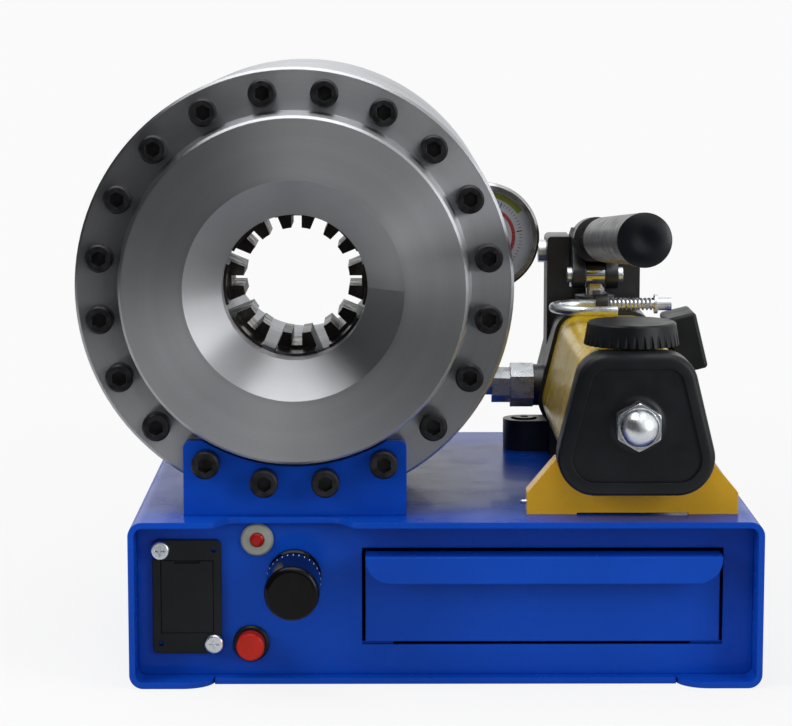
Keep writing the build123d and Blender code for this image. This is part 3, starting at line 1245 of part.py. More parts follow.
NODES = {
    "cabinet_shell": cabinet_shell, "bottom_plate": bottom_plate, "front_panel": front_panel,
    "rear_panel": rear_panel, "drawer_runners": drawer_runners, "drawer": drawer,
    "front_bracket": front_bracket, "rear_bracket": rear_bracket,
    "battery_box": battery_box, "battery_tray": battery_tray, "batteries": batteries,
    "battery_box_screws": battery_box_screws, "lamp_bezel": lamp_bezel, "lamp_lens": lamp_lens,
    "button_bezel": button_bezel, "red_button": red_button, "dial_sleeve": dial_sleeve,
    "size_knob": size_knob, "stop_nut": stop_nut,
    "front_housing": front_housing, "rear_housing": rear_housing, "inner_sleeve": inner_sleeve,
    "ring_piston": ring_piston, "piston_seals": piston_seals, "jaw_springs": jaw_springs,
    "head_screws": head_screws,
    "gauge_case": gauge_case, "gauge_bezel": gauge_bezel, "gauge_glass": gauge_glass,
    "gauge_dial": gauge_dial, "gauge_pointer": gauge_pointer, "gauge_manifold": gauge_manifold,
    "supply_nipple": supply_nipple, "union_nut": union_nut,
    "pump_tank": pump_tank, "tank_end_cap": tank_end_cap, "tie_rod": tie_rod, "acorn_nut": acorn_nut,
    "front_foot": front_foot, "filler_cap": filler_cap, "pump_head": pump_head, "pump_screws": pump_screws,
    "release_knob": release_knob, "plunger": plunger, "plunger_pin": plunger_pin, "lever": lever,
    "pivot_pin": pivot_pin, "handle_tube": handle_tube, "handle_grip": handle_grip,
    "lock_bail": lock_bail, "lock_spring": lock_spring,
}

os.makedirs("parts", exist_ok=True)
for name, make in NODES.items():
    export_step(make(), f"parts/{name}.step")
for index in range(JAW_COUNT):
    export_step(jaw(index), f"parts/jaw_{index + 1}.step")
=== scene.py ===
import bpy
import json
import math
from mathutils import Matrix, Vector


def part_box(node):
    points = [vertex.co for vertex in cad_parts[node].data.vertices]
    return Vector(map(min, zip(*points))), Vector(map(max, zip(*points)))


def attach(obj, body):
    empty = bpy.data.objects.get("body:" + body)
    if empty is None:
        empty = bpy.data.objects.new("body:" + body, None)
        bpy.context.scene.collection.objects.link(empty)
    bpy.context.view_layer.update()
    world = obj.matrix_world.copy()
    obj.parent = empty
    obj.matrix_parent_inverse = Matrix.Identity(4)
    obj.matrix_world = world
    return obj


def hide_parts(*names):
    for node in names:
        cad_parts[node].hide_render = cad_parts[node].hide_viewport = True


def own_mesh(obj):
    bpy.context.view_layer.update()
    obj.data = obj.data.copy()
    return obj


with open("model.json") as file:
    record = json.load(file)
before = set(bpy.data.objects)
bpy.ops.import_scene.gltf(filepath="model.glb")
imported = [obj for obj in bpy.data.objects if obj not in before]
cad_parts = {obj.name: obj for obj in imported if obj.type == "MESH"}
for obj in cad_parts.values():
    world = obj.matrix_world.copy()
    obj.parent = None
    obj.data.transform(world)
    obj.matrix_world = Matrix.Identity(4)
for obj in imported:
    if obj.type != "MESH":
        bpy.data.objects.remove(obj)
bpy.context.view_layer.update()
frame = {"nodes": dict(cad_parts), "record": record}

MM = 0.001


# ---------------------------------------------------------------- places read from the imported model

def middle(node):
    """Centre of a node's box."""
    low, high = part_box(node)
    return Vector([(a + b) / 2 for a, b in zip(low, high)])


HEAD = middle("front_housing")
GAUGE = middle("gauge_dial")
KNOB = middle("size_knob")
DIAL_LOW, DIAL_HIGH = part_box("gauge_dial")
DIAL_FRONT = DIAL_LOW[1]
DIAL_R = (DIAL_HIGH[0] - DIAL_LOW[0]) / 2
JAW_COUNT = 8


# ---------------------------------------------------------------- finishes

NOISE_LOW, NOISE_HIGH = 0.3, 0.7    # nearly all values of a noise pattern lie between these
QUARTER_TURN = 0.25


class Finish:
    """A material in the making: one shader, patterns on Object coordinates, edges that catch light."""

    def __init__(self, name, roughness=0.5, metallic=0.0):
        self.material = bpy.data.materials.new(name)
        self.material.use_nodes = True
        self.nodes = self.material.node_tree.nodes
        self.links = self.material.node_tree.links
        self.shader = self.nodes["Principled BSDF"]
        self.shader.inputs["Roughness"].default_value = roughness
        self.shader.inputs["Metallic"].default_value = metallic
        self.coordinates = self.add("ShaderNodeTexCoord").outputs["Object"]
        self.soft_edges = None

    def add(self, kind, **settings):
        node = self.nodes.new(kind)
        for key, value in settings.items():
            setattr(node, key, value)
        return node

    def constant(self, **sockets):
        for key, value in sockets.items():
            self.shader.inputs[key.replace("_", " ")].default_value = value
        return self

    def centred(self, centre=(0, 0, 0), stretch=(1, 1, 1)):
        """Object coordinates measured from a centre, stretched along the axes."""
        shift = self.add("ShaderNodeVectorMath", operation="SUBTRACT")
        self.links.new(self.coordinates, shift.inputs[0])
        shift.inputs[1].default_value = centre
        scale = self.add("ShaderNodeVectorMath", operation="MULTIPLY")
        self.links.new(shift.outputs[0], scale.inputs[0])
        scale.inputs[1].default_value = stretch
        return scale.outputs[0]

    def cloudy(self, scale, detail, vector=None):
        """Noise from 0 to 1."""
        noise = self.add("ShaderNodeTexNoise")
        noise.inputs["Scale"].default_value = scale
        noise.inputs["Detail"].default_value = detail
        self.links.new(vector or self.coordinates, noise.inputs["Vector"])
        return noise.outputs["Fac"]

    def grooves(self, centre, scale):
        """Lathe marks: noise that changes only with the distance from an axis along Y, and along it."""
        split = self.add("ShaderNodeSeparateXYZ")
        self.links.new(self.centred(centre), split.inputs[0])
        flat = self.add("ShaderNodeCombineXYZ")
        self.links.new(split.outputs["X"], flat.inputs["X"])
        self.links.new(split.outputs["Z"], flat.inputs["Y"])
        reach = self.add("ShaderNodeVectorMath", operation="LENGTH")
        self.links.new(flat.outputs[0], reach.inputs[0])
        run = self.add("ShaderNodeMath", operation="ADD")
        self.links.new(reach.outputs["Value"], run.inputs[0])
        self.links.new(split.outputs["Y"], run.inputs[1])
        lathe = self.add("ShaderNodeTexNoise", noise_dimensions="1D")
        lathe.inputs["Scale"].default_value = scale
        lathe.inputs["Detail"].default_value = 4.0
        self.links.new(run.outputs[0], lathe.inputs["W"])
        return lathe.outputs["Fac"]

    def between(self, fac, low, high):
        """Spread a 0 to 1 pattern over a range of numbers."""
        spread = self.add("ShaderNodeMapRange")
        self.links.new(fac, spread.inputs["Value"])
        spread.inputs["From Min"].default_value = NOISE_LOW
        spread.inputs["From Max"].default_value = NOISE_HIGH
        spread.inputs["To Min"].default_value = low
        spread.inputs["To Max"].default_value = high
        return spread.outputs["Result"]

    def tones(self, fac, *stops):
        """Colour ramp: each stop is a place and a colour."""
        ramp = self.add("ShaderNodeValToRGB")
        while len(ramp.color_ramp.elements) < len(stops):
            ramp.color_ramp.elements.new(0.5)
        for element, (place, colour) in zip(ramp.color_ramp.elements, stops):
            element.position = place
            element.color = (*colour, 1)
        self.links.new(fac, ramp.inputs["Fac"])
        return ramp.outputs["Color"]

    def mixed(self, fac, first, second):
        """Blend of two colours, each a socket or a plain colour."""
        mix = self.add("ShaderNodeMix", data_type="RGBA")
        self.links.new(fac, mix.inputs["Factor"])
        for socket, value in ((mix.inputs[6], first), (mix.inputs[7], second)):
            if hasattr(value, "is_linked"):
                self.links.new(value, socket)
            else:
                socket.default_value = (*value, 1)
        return mix.outputs[2]

    def colour(self, socket):
        self.links.new(socket, self.shader.inputs["Base Color"])
        return self

    def gloss(self, socket):
        self.links.new(socket, self.shader.inputs["Roughness"])
        return self

    def broken_edges(self, radius):
        """Edges that catch the light, as a small machined or folded radius does."""
        bevel = self.add("ShaderNodeBevel", samples=6)
        bevel.inputs["Radius"].default_value = radius
        self.soft_edges = bevel.outputs["Normal"]
        self.links.new(self.soft_edges, self.shader.inputs["Normal"])
        return self

    def relief(self, height, strength, distance):
        bump = self.add("ShaderNodeBump")
        bump.inputs["Strength"].default_value = strength
        bump.inputs["Distance"].default_value = distance
        self.links.new(height, bump.inputs["Height"])
        if self.soft_edges:
            self.links.new(self.soft_edges, bump.inputs["Normal"])
        self.links.new(bump.outputs["Normal"], self.shader.inputs["Normal"])
        return self

    def brushed_round(self, amount):
        """Highlights drawn out round the Y axis, as on turned metal."""
        tangent = self.add("ShaderNodeTangent", direction_type="RADIAL", axis="Y")
        self.links.new(tangent.outputs[0], self.shader.inputs["Tangent"])
        self.shader.inputs["Anisotropic"].default_value = amount
        self.shader.inputs["Anisotropic Rotation"].default_value = QUARTER_TURN
        return self

    def mottled(self, scale, detail, dark, light, span=(0.3, 0.8)):
        """Base colour that drifts between two shades in patches."""
        patch = self.cloudy(scale, detail)
        return self.colour(self.tones(patch, (span[0], dark), (span[1], light)))

    def uneven_gloss(self, scale, detail, low, high):
        """Roughness that drifts between two values in patches."""
        return self.gloss(self.between(self.cloudy(scale, detail), low, high))

    def grain(self, scale, detail, strength, depth):
        """Fine even relief. It comes last, and gives the finished material."""
        return self.relief(self.cloudy(scale, detail), strength, depth).material


def blue_powder_coat():
    paint = Finish("blue_powder_coat", roughness=0.24)
    paint.mottled(scale=9, detail=4, dark=(0.003, 0.046, 0.35), light=(0.004, 0.064, 0.47),
                  span=(0.25, 0.75))
    paint.uneven_gloss(scale=40, detail=3, low=0.2, high=0.3)
    paint.constant(Specular_IOR_Level=0.05, Coat_Weight=0.1, Coat_Roughness=0.05)
    paint.broken_edges(1.2 * MM)
    return paint.grain(scale=700, detail=2, strength=0.06, depth=0.15 * MM)


def turned_steel():
    steel = Finish("turned_steel", roughness=0.32, metallic=1.0)
    marks = steel.grooves(HEAD, scale=1500)
    bands = steel.grooves(HEAD, scale=90)
    stain = steel.cloudy(scale=14, detail=5)
    plain, bright, stained = (0.42, 0.43, 0.45), (0.48, 0.49, 0.515), (0.26, 0.25, 0.25)
    tone = steel.mixed(steel.between(bands, 0, 1), plain, bright)
    steel.colour(steel.mixed(steel.between(stain, 0, 0.3), tone, stained))
    steel.gloss(steel.between(stain, 0.33, 0.42))
    steel.brushed_round(0.85)
    steel.broken_edges(0.5 * MM)
    return steel.relief(marks, strength=0.16, distance=0.1 * MM).material


def jaw_steel():
    steel = Finish("jaw_steel", roughness=0.3, metallic=0.7)
    oiled, worn, bare = (0.012, 0.010, 0.009), (0.035, 0.03, 0.028), (0.16, 0.15, 0.14)
    oil = steel.cloudy(scale=55, detail=5)
    steel.colour(steel.tones(oil, (0.35, oiled), (0.6, worn), (0.85, bare)))
    steel.uneven_gloss(scale=120, detail=3, low=0.22, high=0.42)
    steel.broken_edges(0.5 * MM)
    drawn_out = steel.centred(HEAD, (1, 0.15, 1))
    scratches = steel.cloudy(600, 3, drawn_out)
    return steel.relief(scratches, strength=0.15, distance=0.1 * MM).material


def black_oxide():
    steel = Finish("black_oxide", roughness=0.38, metallic=0.6)
    oil = steel.cloudy(scale=220, detail=4)
    steel.colour(steel.tones(oil, (0.3, (0.008, 0.008, 0.009)), (0.8, (0.03, 0.03, 0.034))))
    steel.gloss(steel.between(oil, 0.28, 0.46))
    steel.broken_edges(0.5 * MM)
    return steel.grain(scale=1400, detail=2, strength=0.1, depth=0.08 * MM)


def black_casting():
    paint = Finish("black_casting", roughness=0.4)
    paint.mottled(scale=30, detail=4, dark=(0.004, 0.004, 0.005), light=(0.012, 0.012, 0.014))
    paint.uneven_gloss(scale=60, detail=4, low=0.3, high=0.5)
    paint.constant(Coat_Weight=0.25, Coat_Roughness=0.25)
    paint.broken_edges(1.0 * MM)
    return paint.grain(scale=380, detail=4, strength=0.25, depth=0.25 * MM)


def black_moulding(name="black_moulding", rough=0.42):
    plastic = Finish(name, roughness=rough)
    plastic.mottled(scale=26, detail=3, dark=(0.002, 0.003, 0.004), light=(0.005, 0.007, 0.010))
    plastic.uneven_gloss(scale=90, detail=3, low=rough - 0.06, high=rough + 0.06)
    plastic.constant(Specular_IOR_Level=0.28)
    plastic.broken_edges(0.6 * MM)
    return plastic.grain(scale=1500, detail=2, strength=0.12, depth=0.08 * MM)


def gloss_black():
    plastic = Finish("gloss_black", roughness=0.12)
    plastic.mottled(scale=50, detail=2, dark=(0.001, 0.001, 0.0015), light=(0.003, 0.003, 0.004))
    plastic.uneven_gloss(scale=150, detail=3, low=0.08, high=0.2)
    plastic.constant(Specular_IOR_Level=0.16)
    plastic.broken_edges(0.5 * MM)
    return plastic.grain(scale=120, detail=1, strength=0.03, depth=0.2 * MM)


def grip_rubber():
    rubber = Finish("grip_rubber", roughness=0.36)
    rubber.mottled(scale=35, detail=3, dark=(0.012, 0.012, 0.014), light=(0.026, 0.027, 0.031))
    rubber.uneven_gloss(scale=140, detail=3, low=0.26, high=0.44)
    rubber.broken_edges(0.6 * MM)
    return rubber.grain(scale=1100, detail=3, strength=0.15, depth=0.1 * MM)


def yellow_paint(name, shade, light):
    paint = Finish(name, roughness=0.26)
    paint.mottled(scale=11, detail=4, dark=shade, light=light, span=(0.25, 0.75))
    paint.uneven_gloss(scale=45, detail=3, low=0.2, high=0.34)
    paint.constant(Specular_IOR_Level=0.25, Coat_Weight=0.1, Coat_Roughness=0.08)
    paint.broken_edges(0.8 * MM)
    return paint.grain(scale=500, detail=2, strength=0.08, depth=0.15 * MM)


def bright_metal(name, dark, light, rough, grain):
    metal = Finish(name, roughness=rough, metallic=1.0)
    metal.mottled(scale=grain / 5, detail=4, dark=dark, light=light, span=(0.3, 0.75))
    metal.uneven_gloss(scale=grain, detail=3, low=rough * 0.7, high=rough * 1.35)
    metal.broken_edges(0.4 * MM)
    return metal.grain(scale=grain * 3, detail=3, strength=0.03, depth=0.04 * MM)


def dial_card():
    card = Finish("dial_card", roughness=0.5)
    card.mottled(scale=30, detail=3, dark=(0.56, 0.55, 0.62), light=(0.68, 0.67, 0.74))
    return card.grain(scale=900, detail=2, strength=0.05, depth=0.05 * MM)


def printed(name, colour):
    ink = Finish(name, roughness=0.45)
    ink.mottled(scale=300, detail=2, dark=tuple(c * 0.8 for c in colour), light=colour)
    return ink.grain(scale=1500, detail=1, strength=0.05, depth=0.03 * MM)


def coloured_plastic(name, shade, light, rough):
    plastic = Finish(name, roughness=rough)
    plastic.mottled(scale=60, detail=3, dark=shade, light=light)
    plastic.uneven_gloss(scale=200, detail=3, low=rough * 0.8, high=rough * 1.3)
    plastic.constant(Specular_IOR_Level=0.2, Coat_Weight=0.08, Coat_Roughness=0.1)
    plastic.broken_edges(0.4 * MM)
    return plastic.grain(scale=900, detail=2, strength=0.05, depth=0.06 * MM)


def window_glass():
    glass = Finish("window_glass", roughness=0.02)
    glass.constant(Transmission_Weight=1.0, IOR=1.45)
    glass.mottled(scale=40, detail=2, dark=(0.94, 0.97, 0.96), light=(0.98, 1.0, 1.0))
    return glass.uneven_gloss(scale=80, detail=4, low=0.01, high=0.05).material


def battery_wrap():
    foil = Finish("battery_wrap", roughness=0.3)
    black, gold = (0.02, 0.02, 0.024), (0.30, 0.20, 0.06)
    along_y = foil.centred(stretch=(0, 1, 0))
    foil.colour(foil.tones(foil.cloudy(20, 2, along_y), (0.45, black), (0.5, gold)))
    foil.broken_edges(0.5 * MM)
    return foil.grain(scale=300, detail=2, strength=0.08, depth=0.1 * MM)


FINISHES = {
    "blue_paint": blue_powder_coat(),
    "turned_steel": turned_steel(),
    "jaw_steel": jaw_steel(),
    "black_oxide": black_oxide(),
    "black_casting": black_casting(),
    "black_moulding": black_moulding(),
    "gloss_black": gloss_black(),
    "grip_rubber": grip_rubber(),
    "yellow_paint": yellow_paint("tank_yellow", (0.72, 0.47, 0.012), (0.86, 0.60, 0.03)),
    "zinc_plate": bright_metal("zinc_plate", (0.62, 0.66, 0.70), (0.82, 0.85, 0.88),
                               rough=0.3, grain=160),
    "chrome_plate": bright_metal("chrome_plate", (0.55, 0.56, 0.58), (0.75, 0.76, 0.78),
                                 rough=0.1, grain=120),
    "gauge_steel": bright_metal("gauge_steel", (0.34, 0.34, 0.34), (0.55, 0.55, 0.55),
                                rough=0.2, grain=200),
    "dial_white": dial_card(),
    "pointer_black": printed("pointer_black", (0.02, 0.02, 0.022)),
    "window_glass": window_glass(),
    "lamp_grey": coloured_plastic("lamp_grey", (0.24, 0.25, 0.22), (0.34, 0.36, 0.32), rough=0.4),
    "lamp_red": coloured_plastic("lamp_red", (0.26, 0.004, 0.004), (0.38, 0.008, 0.007), rough=0.12),
    "button_red": coloured_plastic("button_red", (0.38, 0.012, 0.005), (0.50, 0.018, 0.008),
                                   rough=0.3),
    "spring_steel": bright_metal("spring_steel", (0.30, 0.31, 0.32), (0.55, 0.56, 0.58),
                                 rough=0.25, grain=300),
    "seal_rubber": black_moulding("seal_rubber", rough=0.55),
    "battery_wrap": battery_wrap(),
}
FOOT_ORANGE = yellow_paint("foot_orange", (0.58, 0.30, 0.010), (0.74, 0.42, 0.02))
SLOTS = {row["node"]: row["material_slot"] for row in frame["record"]["subparts"]}


def dress(piece, material):
    """One finish on a piece or node."""
    piece.data.materials.clear()
    piece.data.materials.append(material)


def dress_nodes():
    """Every node takes the finish of its slot; the folded foot has a warmer yellow."""
    for name, node in frame["nodes"].items():
        dress(node, FINISHES[SLOTS[name]])
    dress(frame["nodes"]["front_foot"], FOOT_ORANGE)


# ---------------------------------------------------------------- making pieces

def start():
    """Nothing selected, object mode."""
    if bpy.context.mode != "OBJECT":
        bpy.ops.object.mode_set(mode="OBJECT")
    bpy.ops.object.select_all(action="DESELECT")


def edit(select=None):
    """Edit mode on the active piece, with the faces chosen by select, or all."""
    piece = bpy.context.object
    bpy.ops.object.mode_set(mode="EDIT")
    bpy.ops.mesh.select_mode(type="FACE")
    bpy.ops.mesh.select_all(action="SELECT" if select is None else "DESELECT")
    if select is None:
        return
    bpy.ops.object.mode_set(mode="OBJECT")
    for face in piece.data.polygons:
        face.select = select(face)
    bpy.ops.object.mode_set(mode="EDIT")


def done(name, body, slot, material=None):
    """Leave edit mode, put the piece's place in its mesh, name it, and let it ride."""
    if bpy.context.mode != "OBJECT":
        bpy.ops.object.mode_set(mode="OBJECT")
    piece = bpy.context.object
    bpy.ops.object.transform_apply(location=True, rotation=True, scale=True)
    piece.name = name
    piece.data.name = name
    dress(piece, material or FINISHES[slot])
    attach(piece, body)
    return piece


def joined(pieces):
    """The pieces as one, which is then the active piece."""
    start()
    for piece in pieces:
        piece.select_set(True)
    bpy.context.view_layer.objects.active = pieces[0]
    bpy.ops.object.join()


def copies_round(count, step, centre):
    """Copies of the active piece turned about an axis along Y, joined into one piece."""
    first = bpy.context.object
    made = [first]
    for i in range(1, count):
        start()
        first.select_set(True)
        bpy.context.view_layer.objects.active = first
        bpy.ops.object.duplicate(linked=False)
        bpy.ops.transform.rotate(value=step * i, orient_axis="Y", center_override=centre)
        bpy.ops.object.transform_apply(location=True, rotation=True, scale=True)
        made.append(bpy.context.object)
    joined(made)


def raised_mark(place, turned, size, push):
    """A flat mark given a little thickness by the step push."""
    start()
    bpy.ops.mesh.primitive_plane_add(size=1, location=place, rotation=turned)
    bpy.context.object.scale = (*size, 1)
    bpy.ops.object.transform_apply(location=True, rotation=True, scale=True)
    edit()
    bpy.ops.mesh.extrude_region_move(TRANSFORM_OT_translate={"value": push})
    bpy.ops.mesh.select_all(action="SELECT")
    bpy.ops.mesh.normals_make_consistent(inside=False)
    bpy.ops.object.mode_set(mode="OBJECT")


def soft_rims(width, segments, sharper, smooth):
    """Round the active piece's edges sharper than one angle, and shade it smooth below another."""
    rim = bpy.context.object.modifiers.new("soft_rim", "BEVEL")
    rim.width = width
    rim.segments = segments
    rim.limit_method = "ANGLE"
    rim.angle_limit = math.radians(sharper)
    bpy.ops.object.modifier_apply(modifier=rim.name)
    bpy.ops.object.shade_smooth_by_angle(angle=math.radians(smooth))


# ---------------------------------------------------------------- gauge

DIAL_START = math.radians(225)
DIAL_SWEEP = math.radians(270)
INK = 0.12 * MM


def dial_point(turn, reach, lift=0.0):
    """Point on the dial's face; turn is counter-clockwise from the right."""
    return (GAUGE.x + reach * math.cos(turn), DIAL_FRONT - lift, GAUGE.z + reach * math.sin(turn))


def dial_marks(name, begin, sweep, count, inner, outer, width, ink):
    """A run of printed marks, clockwise from begin; marks wider than their spacing make a band."""
    raised_mark(dial_point(begin, (inner + outer) / 2, INK), (math.pi / 2, -begin, 0),
                (outer - inner, width), (0, INK * 0.9, 0))
    # a script's turn about Y runs the other way round, so clockwise steps are negative
    copies_round(count, -sweep / (count - 1), dial_point(0, 0))
    done(name, "frame", "pointer_black", ink)


def dial_numbers():
    """Generic pressure numbers round the scale."""
    count, rise = 6, 20
    ring, height = DIAL_R * 0.36, DIAL_R * 0.17
    figures = []
    for i in range(count):
        turn = DIAL_START - DIAL_SWEEP * i / (count - 1)
        start()
        bpy.ops.object.text_add(location=dial_point(turn, ring, INK * 0.4),
                                rotation=(math.pi / 2, 0, 0))
        figure = bpy.context.object
        figure.data.body = str(i * rise)
        figure.data.align_x = "CENTER"
        figure.data.align_y = "CENTER"
        figure.data.size = height
        figure.data.extrude = INK * 0.3
        bpy.ops.object.convert(target="MESH")
        figures.append(bpy.context.object)
    joined(figures)
    done("gauge_numbers", "frame", "pointer_black", printed("number_ink", (0.015, 0.015, 0.018)))


def gauge_face():
    """Scale, coloured bands and numbers on the dial."""
    black = printed("scale_ink", (0.015, 0.015, 0.018))
    green = printed("green_ink", (0.45, 0.47, 0.02))
    red = printed("red_ink", (0.5, 0.01, 0.015))
    green_start, green_sweep = math.radians(78), math.radians(42)
    red_start, red_sweep = math.radians(62), math.radians(105)
    # name, start, sweep, count, inner and outer share of the dial's radius, width in mm, ink
    for name, begin, sweep, count, inner, outer, width, ink in (
            ("gauge_scale_fine", DIAL_START, DIAL_SWEEP, 51, 0.7, 0.76, 0.35, black),
            ("gauge_scale_main", DIAL_START, DIAL_SWEEP, 6, 0.65, 0.76, 0.7, black),
            ("gauge_band_green", green_start, green_sweep, 22, 0.8, 0.92, 1.1, green),
            ("gauge_band_red", red_start, red_sweep, 40, 0.55, 0.62, 0.8, red)):
        dial_marks(name, begin, sweep, count, DIAL_R * inner, DIAL_R * outer, width * MM, ink)
    dial_numbers()


# ---------------------------------------------------------------- size knob, grip, cap and foot

def size_marks():
    """White graduations round the turning cap, near its back edge."""
    count, wide, long = 30, 0.45 * MM, 3.5 * MM
    setback, sunk, thick = 31.5 * MM, 0.05 * MM, 0.12 * MM
    low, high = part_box("size_knob")
    reach = (high[0] - low[0]) / 2
    back = low[1] + setback
    raised_mark((KNOB.x, back + long / 2, KNOB.z + reach - sunk), (0, 0, 0),
                (wide, long), (0, 0, thick))
    copies_round(count, 2 * math.pi / count, (KNOB.x, back, KNOB.z))
    done("size_marks", "size_knob", "dial_white")


def grip_end():
    """Soft black plug over the grip's far end, rounded at its rim with a shallow dimple."""
    tilt = math.radians(5.1)
    reach, lap, deep, skin = 14.0 * MM, 0.35 * MM, 13 * MM, 0.3 * MM
    low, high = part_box("handle_grip")
    along = Vector((0, -math.cos(tilt), math.sin(tilt)))
    across = Vector((0, math.sin(tilt), math.cos(tilt)))
    tip = Vector(((low[0] + high[0]) / 2, low[1], high[2]))
    tip -= across * reach
    tip.y = low[1] + 0.6 * MM
    start()
    bpy.ops.mesh.primitive_cylinder_add(vertices=64, radius=reach + lap, depth=deep,
                                        location=tip - along * (deep / 2),
                                        rotation=(math.pi / 2 - tilt, 0, 0))
    bpy.ops.object.transform_apply(location=True, rotation=True, scale=True)
    edit(lambda face: face.normal.dot(along) > 0.9)
    for inward, outward in ((4.0, 1.4), (4.5, 0.4), (2.5, -0.9)):
        bpy.ops.mesh.inset(thickness=inward * MM)
        bpy.ops.transform.translate(value=along * outward * MM)
    edit(lambda face: face.normal.dot(along) < -0.9)
    bpy.ops.mesh.delete(type="FACE")
    bpy.ops.object.mode_set(mode="OBJECT")
    wall = bpy.context.object.modifiers.new("wall", "SOLIDIFY")
    wall.thickness = skin
    wall.offset = 1
    bpy.ops.object.modifier_apply(modifier=wall.name)
    soft_rims(2.2 * MM, segments=5, sharper=35, smooth=40)
    done("grip_end", "handle", "grip_rubber", black_moulding("grip_end_plastic", rough=0.32))


def tank_cap_moulding():
    """The tank's end cap with a soft raised rim round a sunken face."""
    rim, slope, sunk = 5.0 * MM, 2.5 * MM, 1.3 * MM
    start()
    mesh = frame["nodes"]["tank_end_cap"].data.copy()
    cap = bpy.data.objects.new("tank_cap_moulding", mesh)
    bpy.context.collection.objects.link(cap)
    cap.select_set(True)
    bpy.context.view_layer.objects.active = cap
    edit()
    bpy.ops.mesh.remove_doubles(threshold=0.002 * MM)
    bpy.ops.mesh.dissolve_limited(angle_limit=math.radians(0.5))
    front = Vector(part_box("tank_end_cap")[0]).y
    edit(lambda face: face.normal.y < -0.99 and face.center.y < front + 0.2 * MM)
    bpy.ops.mesh.inset(thickness=rim)
    bpy.ops.mesh.inset(thickness=slope)
    bpy.ops.transform.translate(value=(0, sunk, 0))
    bpy.ops.object.mode_set(mode="OBJECT")
    soft_rims(1.2 * MM, segments=4, sharper=12, smooth=50)
    piece = done("tank_cap_moulding", "frame", "black_moulding")
    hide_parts("tank_end_cap")


def foot_screw():
    """Tip of the fixing screw that shows beside the foot."""
    reach, long, chamfer, point = 1.2 * MM, 3 * MM, 0.4 * MM, 1.2 * MM
    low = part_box("front_foot")[0]
    place = (low[0] - 1.0 * MM, low[1] + 6 * MM, low[2] + 6.5 * MM)
    start()
    bpy.ops.mesh.primitive_cylinder_add(vertices=24, radius=reach, depth=long, location=place,
                                        rotation=(0, math.pi / 2, 0))
    bpy.ops.object.transform_apply(location=True, rotation=True, scale=True)
    edit(lambda face: face.normal.x < -0.9)
    bpy.ops.mesh.inset(thickness=chamfer)
    bpy.ops.transform.translate(value=(-point, 0, 0))
    done("foot_screw", "frame", "zinc_plate")


# ---------------------------------------------------------------- springs

def wound_wire(wire, reach, length, turns, begin):
    """A coil along +X from begin, which is the middle of its first end."""
    wire_sides, steps_a_turn = 10, 20
    start()
    bpy.ops.mesh.primitive_circle_add(vertices=wire_sides, radius=wire,
                                      location=(begin.x + wire, begin.y, begin.z + reach),
                                      rotation=(0, 0, math.pi / 2))
    bpy.ops.object.transform_apply(location=True, rotation=True, scale=True)
    coil = bpy.context.object
    hub = bpy.data.objects.new("hub", None)
    bpy.context.collection.objects.link(hub)
    hub.location = begin
    bpy.context.view_layer.update()
    winding = coil.modifiers.new("winding", "SCREW")
    winding.object = hub
    winding.axis = "X"
    winding.angle = 2 * math.pi * turns
    winding.screw_offset = length - 2 * wire
    winding.steps = steps_a_turn * turns
    winding.render_steps = steps_a_turn * turns
    winding.use_smooth_shade = True
    bpy.ops.object.modifier_apply(modifier=winding.name)
    bpy.data.objects.remove(hub)
    edit()
    bpy.ops.mesh.remove_doubles(threshold=0.001 * MM)
    bpy.ops.mesh.fill_holes(sides=wire_sides + 2)
    bpy.ops.mesh.select_all(action="SELECT")
    bpy.ops.mesh.normals_make_consistent(inside=False)
    bpy.ops.object.mode_set(mode="OBJECT")


def lock_spring_coil():
    """Round wire wound round the locking hook's rod."""
    wire, travel, turns = 0.65 * MM, 8 * MM, 11
    low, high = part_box("lock_spring")
    centre = middle("lock_spring")
    length = high[0] - low[0]
    reach = (high[2] - low[2]) / 2 - wire
    wound_wire(wire, reach, length, turns, Vector((low[0], centre.y, centre.z)))
    piece = done("lock_spring_coil", "frame", "spring_steel")
    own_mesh(piece)
    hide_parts("lock_spring")


def jaw_spring_coils():
    """The springs that spread the jaws, each lying across a gap between two jaws."""
    reach, wire, circle, turns = 3.2 * MM, 0.55 * MM, 62 * MM, 7
    low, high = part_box("jaw_springs")
    length = (high[1] - low[1]) * 3.65
    begin = Vector((HEAD.x - length / 2, (low[1] + high[1]) / 2, HEAD.z + circle))
    wound_wire(wire, reach - wire, length, turns, begin)
    centre = (HEAD.x, 0, HEAD.z)
    bpy.ops.transform.rotate(value=math.pi / JAW_COUNT, orient_axis="Y", center_override=centre)
    bpy.ops.object.transform_apply(location=True, rotation=True, scale=True)
    copies_round(JAW_COUNT, 2 * math.pi / JAW_COUNT, centre)
    piece = done("jaw_spring_coils", "frame", "spring_steel")
    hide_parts("jaw_springs")


# ---------------------------------------------------------------- floor, light and camera

PALE = 0.956                # strength of the background that the camera sees
SHADOW_REACH = 0.3          # out to here the floor keeps its shadow in full
FLOOR_FADED = 1.1           # from here on it is plain background

CAMERA_PLACE = (-0.03608, -1.62825, 0.38539)
CAMERA_DIP = 0.13436
CAMERA_TURN = -0.0052
CAMERA_LENS = 120.45
SENSOR_WIDTH = 36.0


def eased(tree, socket, begin, end, first, last):
    """A number that eases from first to last while the socket's goes from begin to end."""
    node = tree.nodes.new("ShaderNodeMapRange")
    node.interpolation_type = "SMOOTHSTEP"
    limits = {"From Min": begin, "From Max": end, "To Min": first, "To Max": last}
    for name, value in limits.items():
        node.inputs[name].default_value = value
    tree.links.new(socket, node.inputs["Value"])
    return node.outputs["Result"]


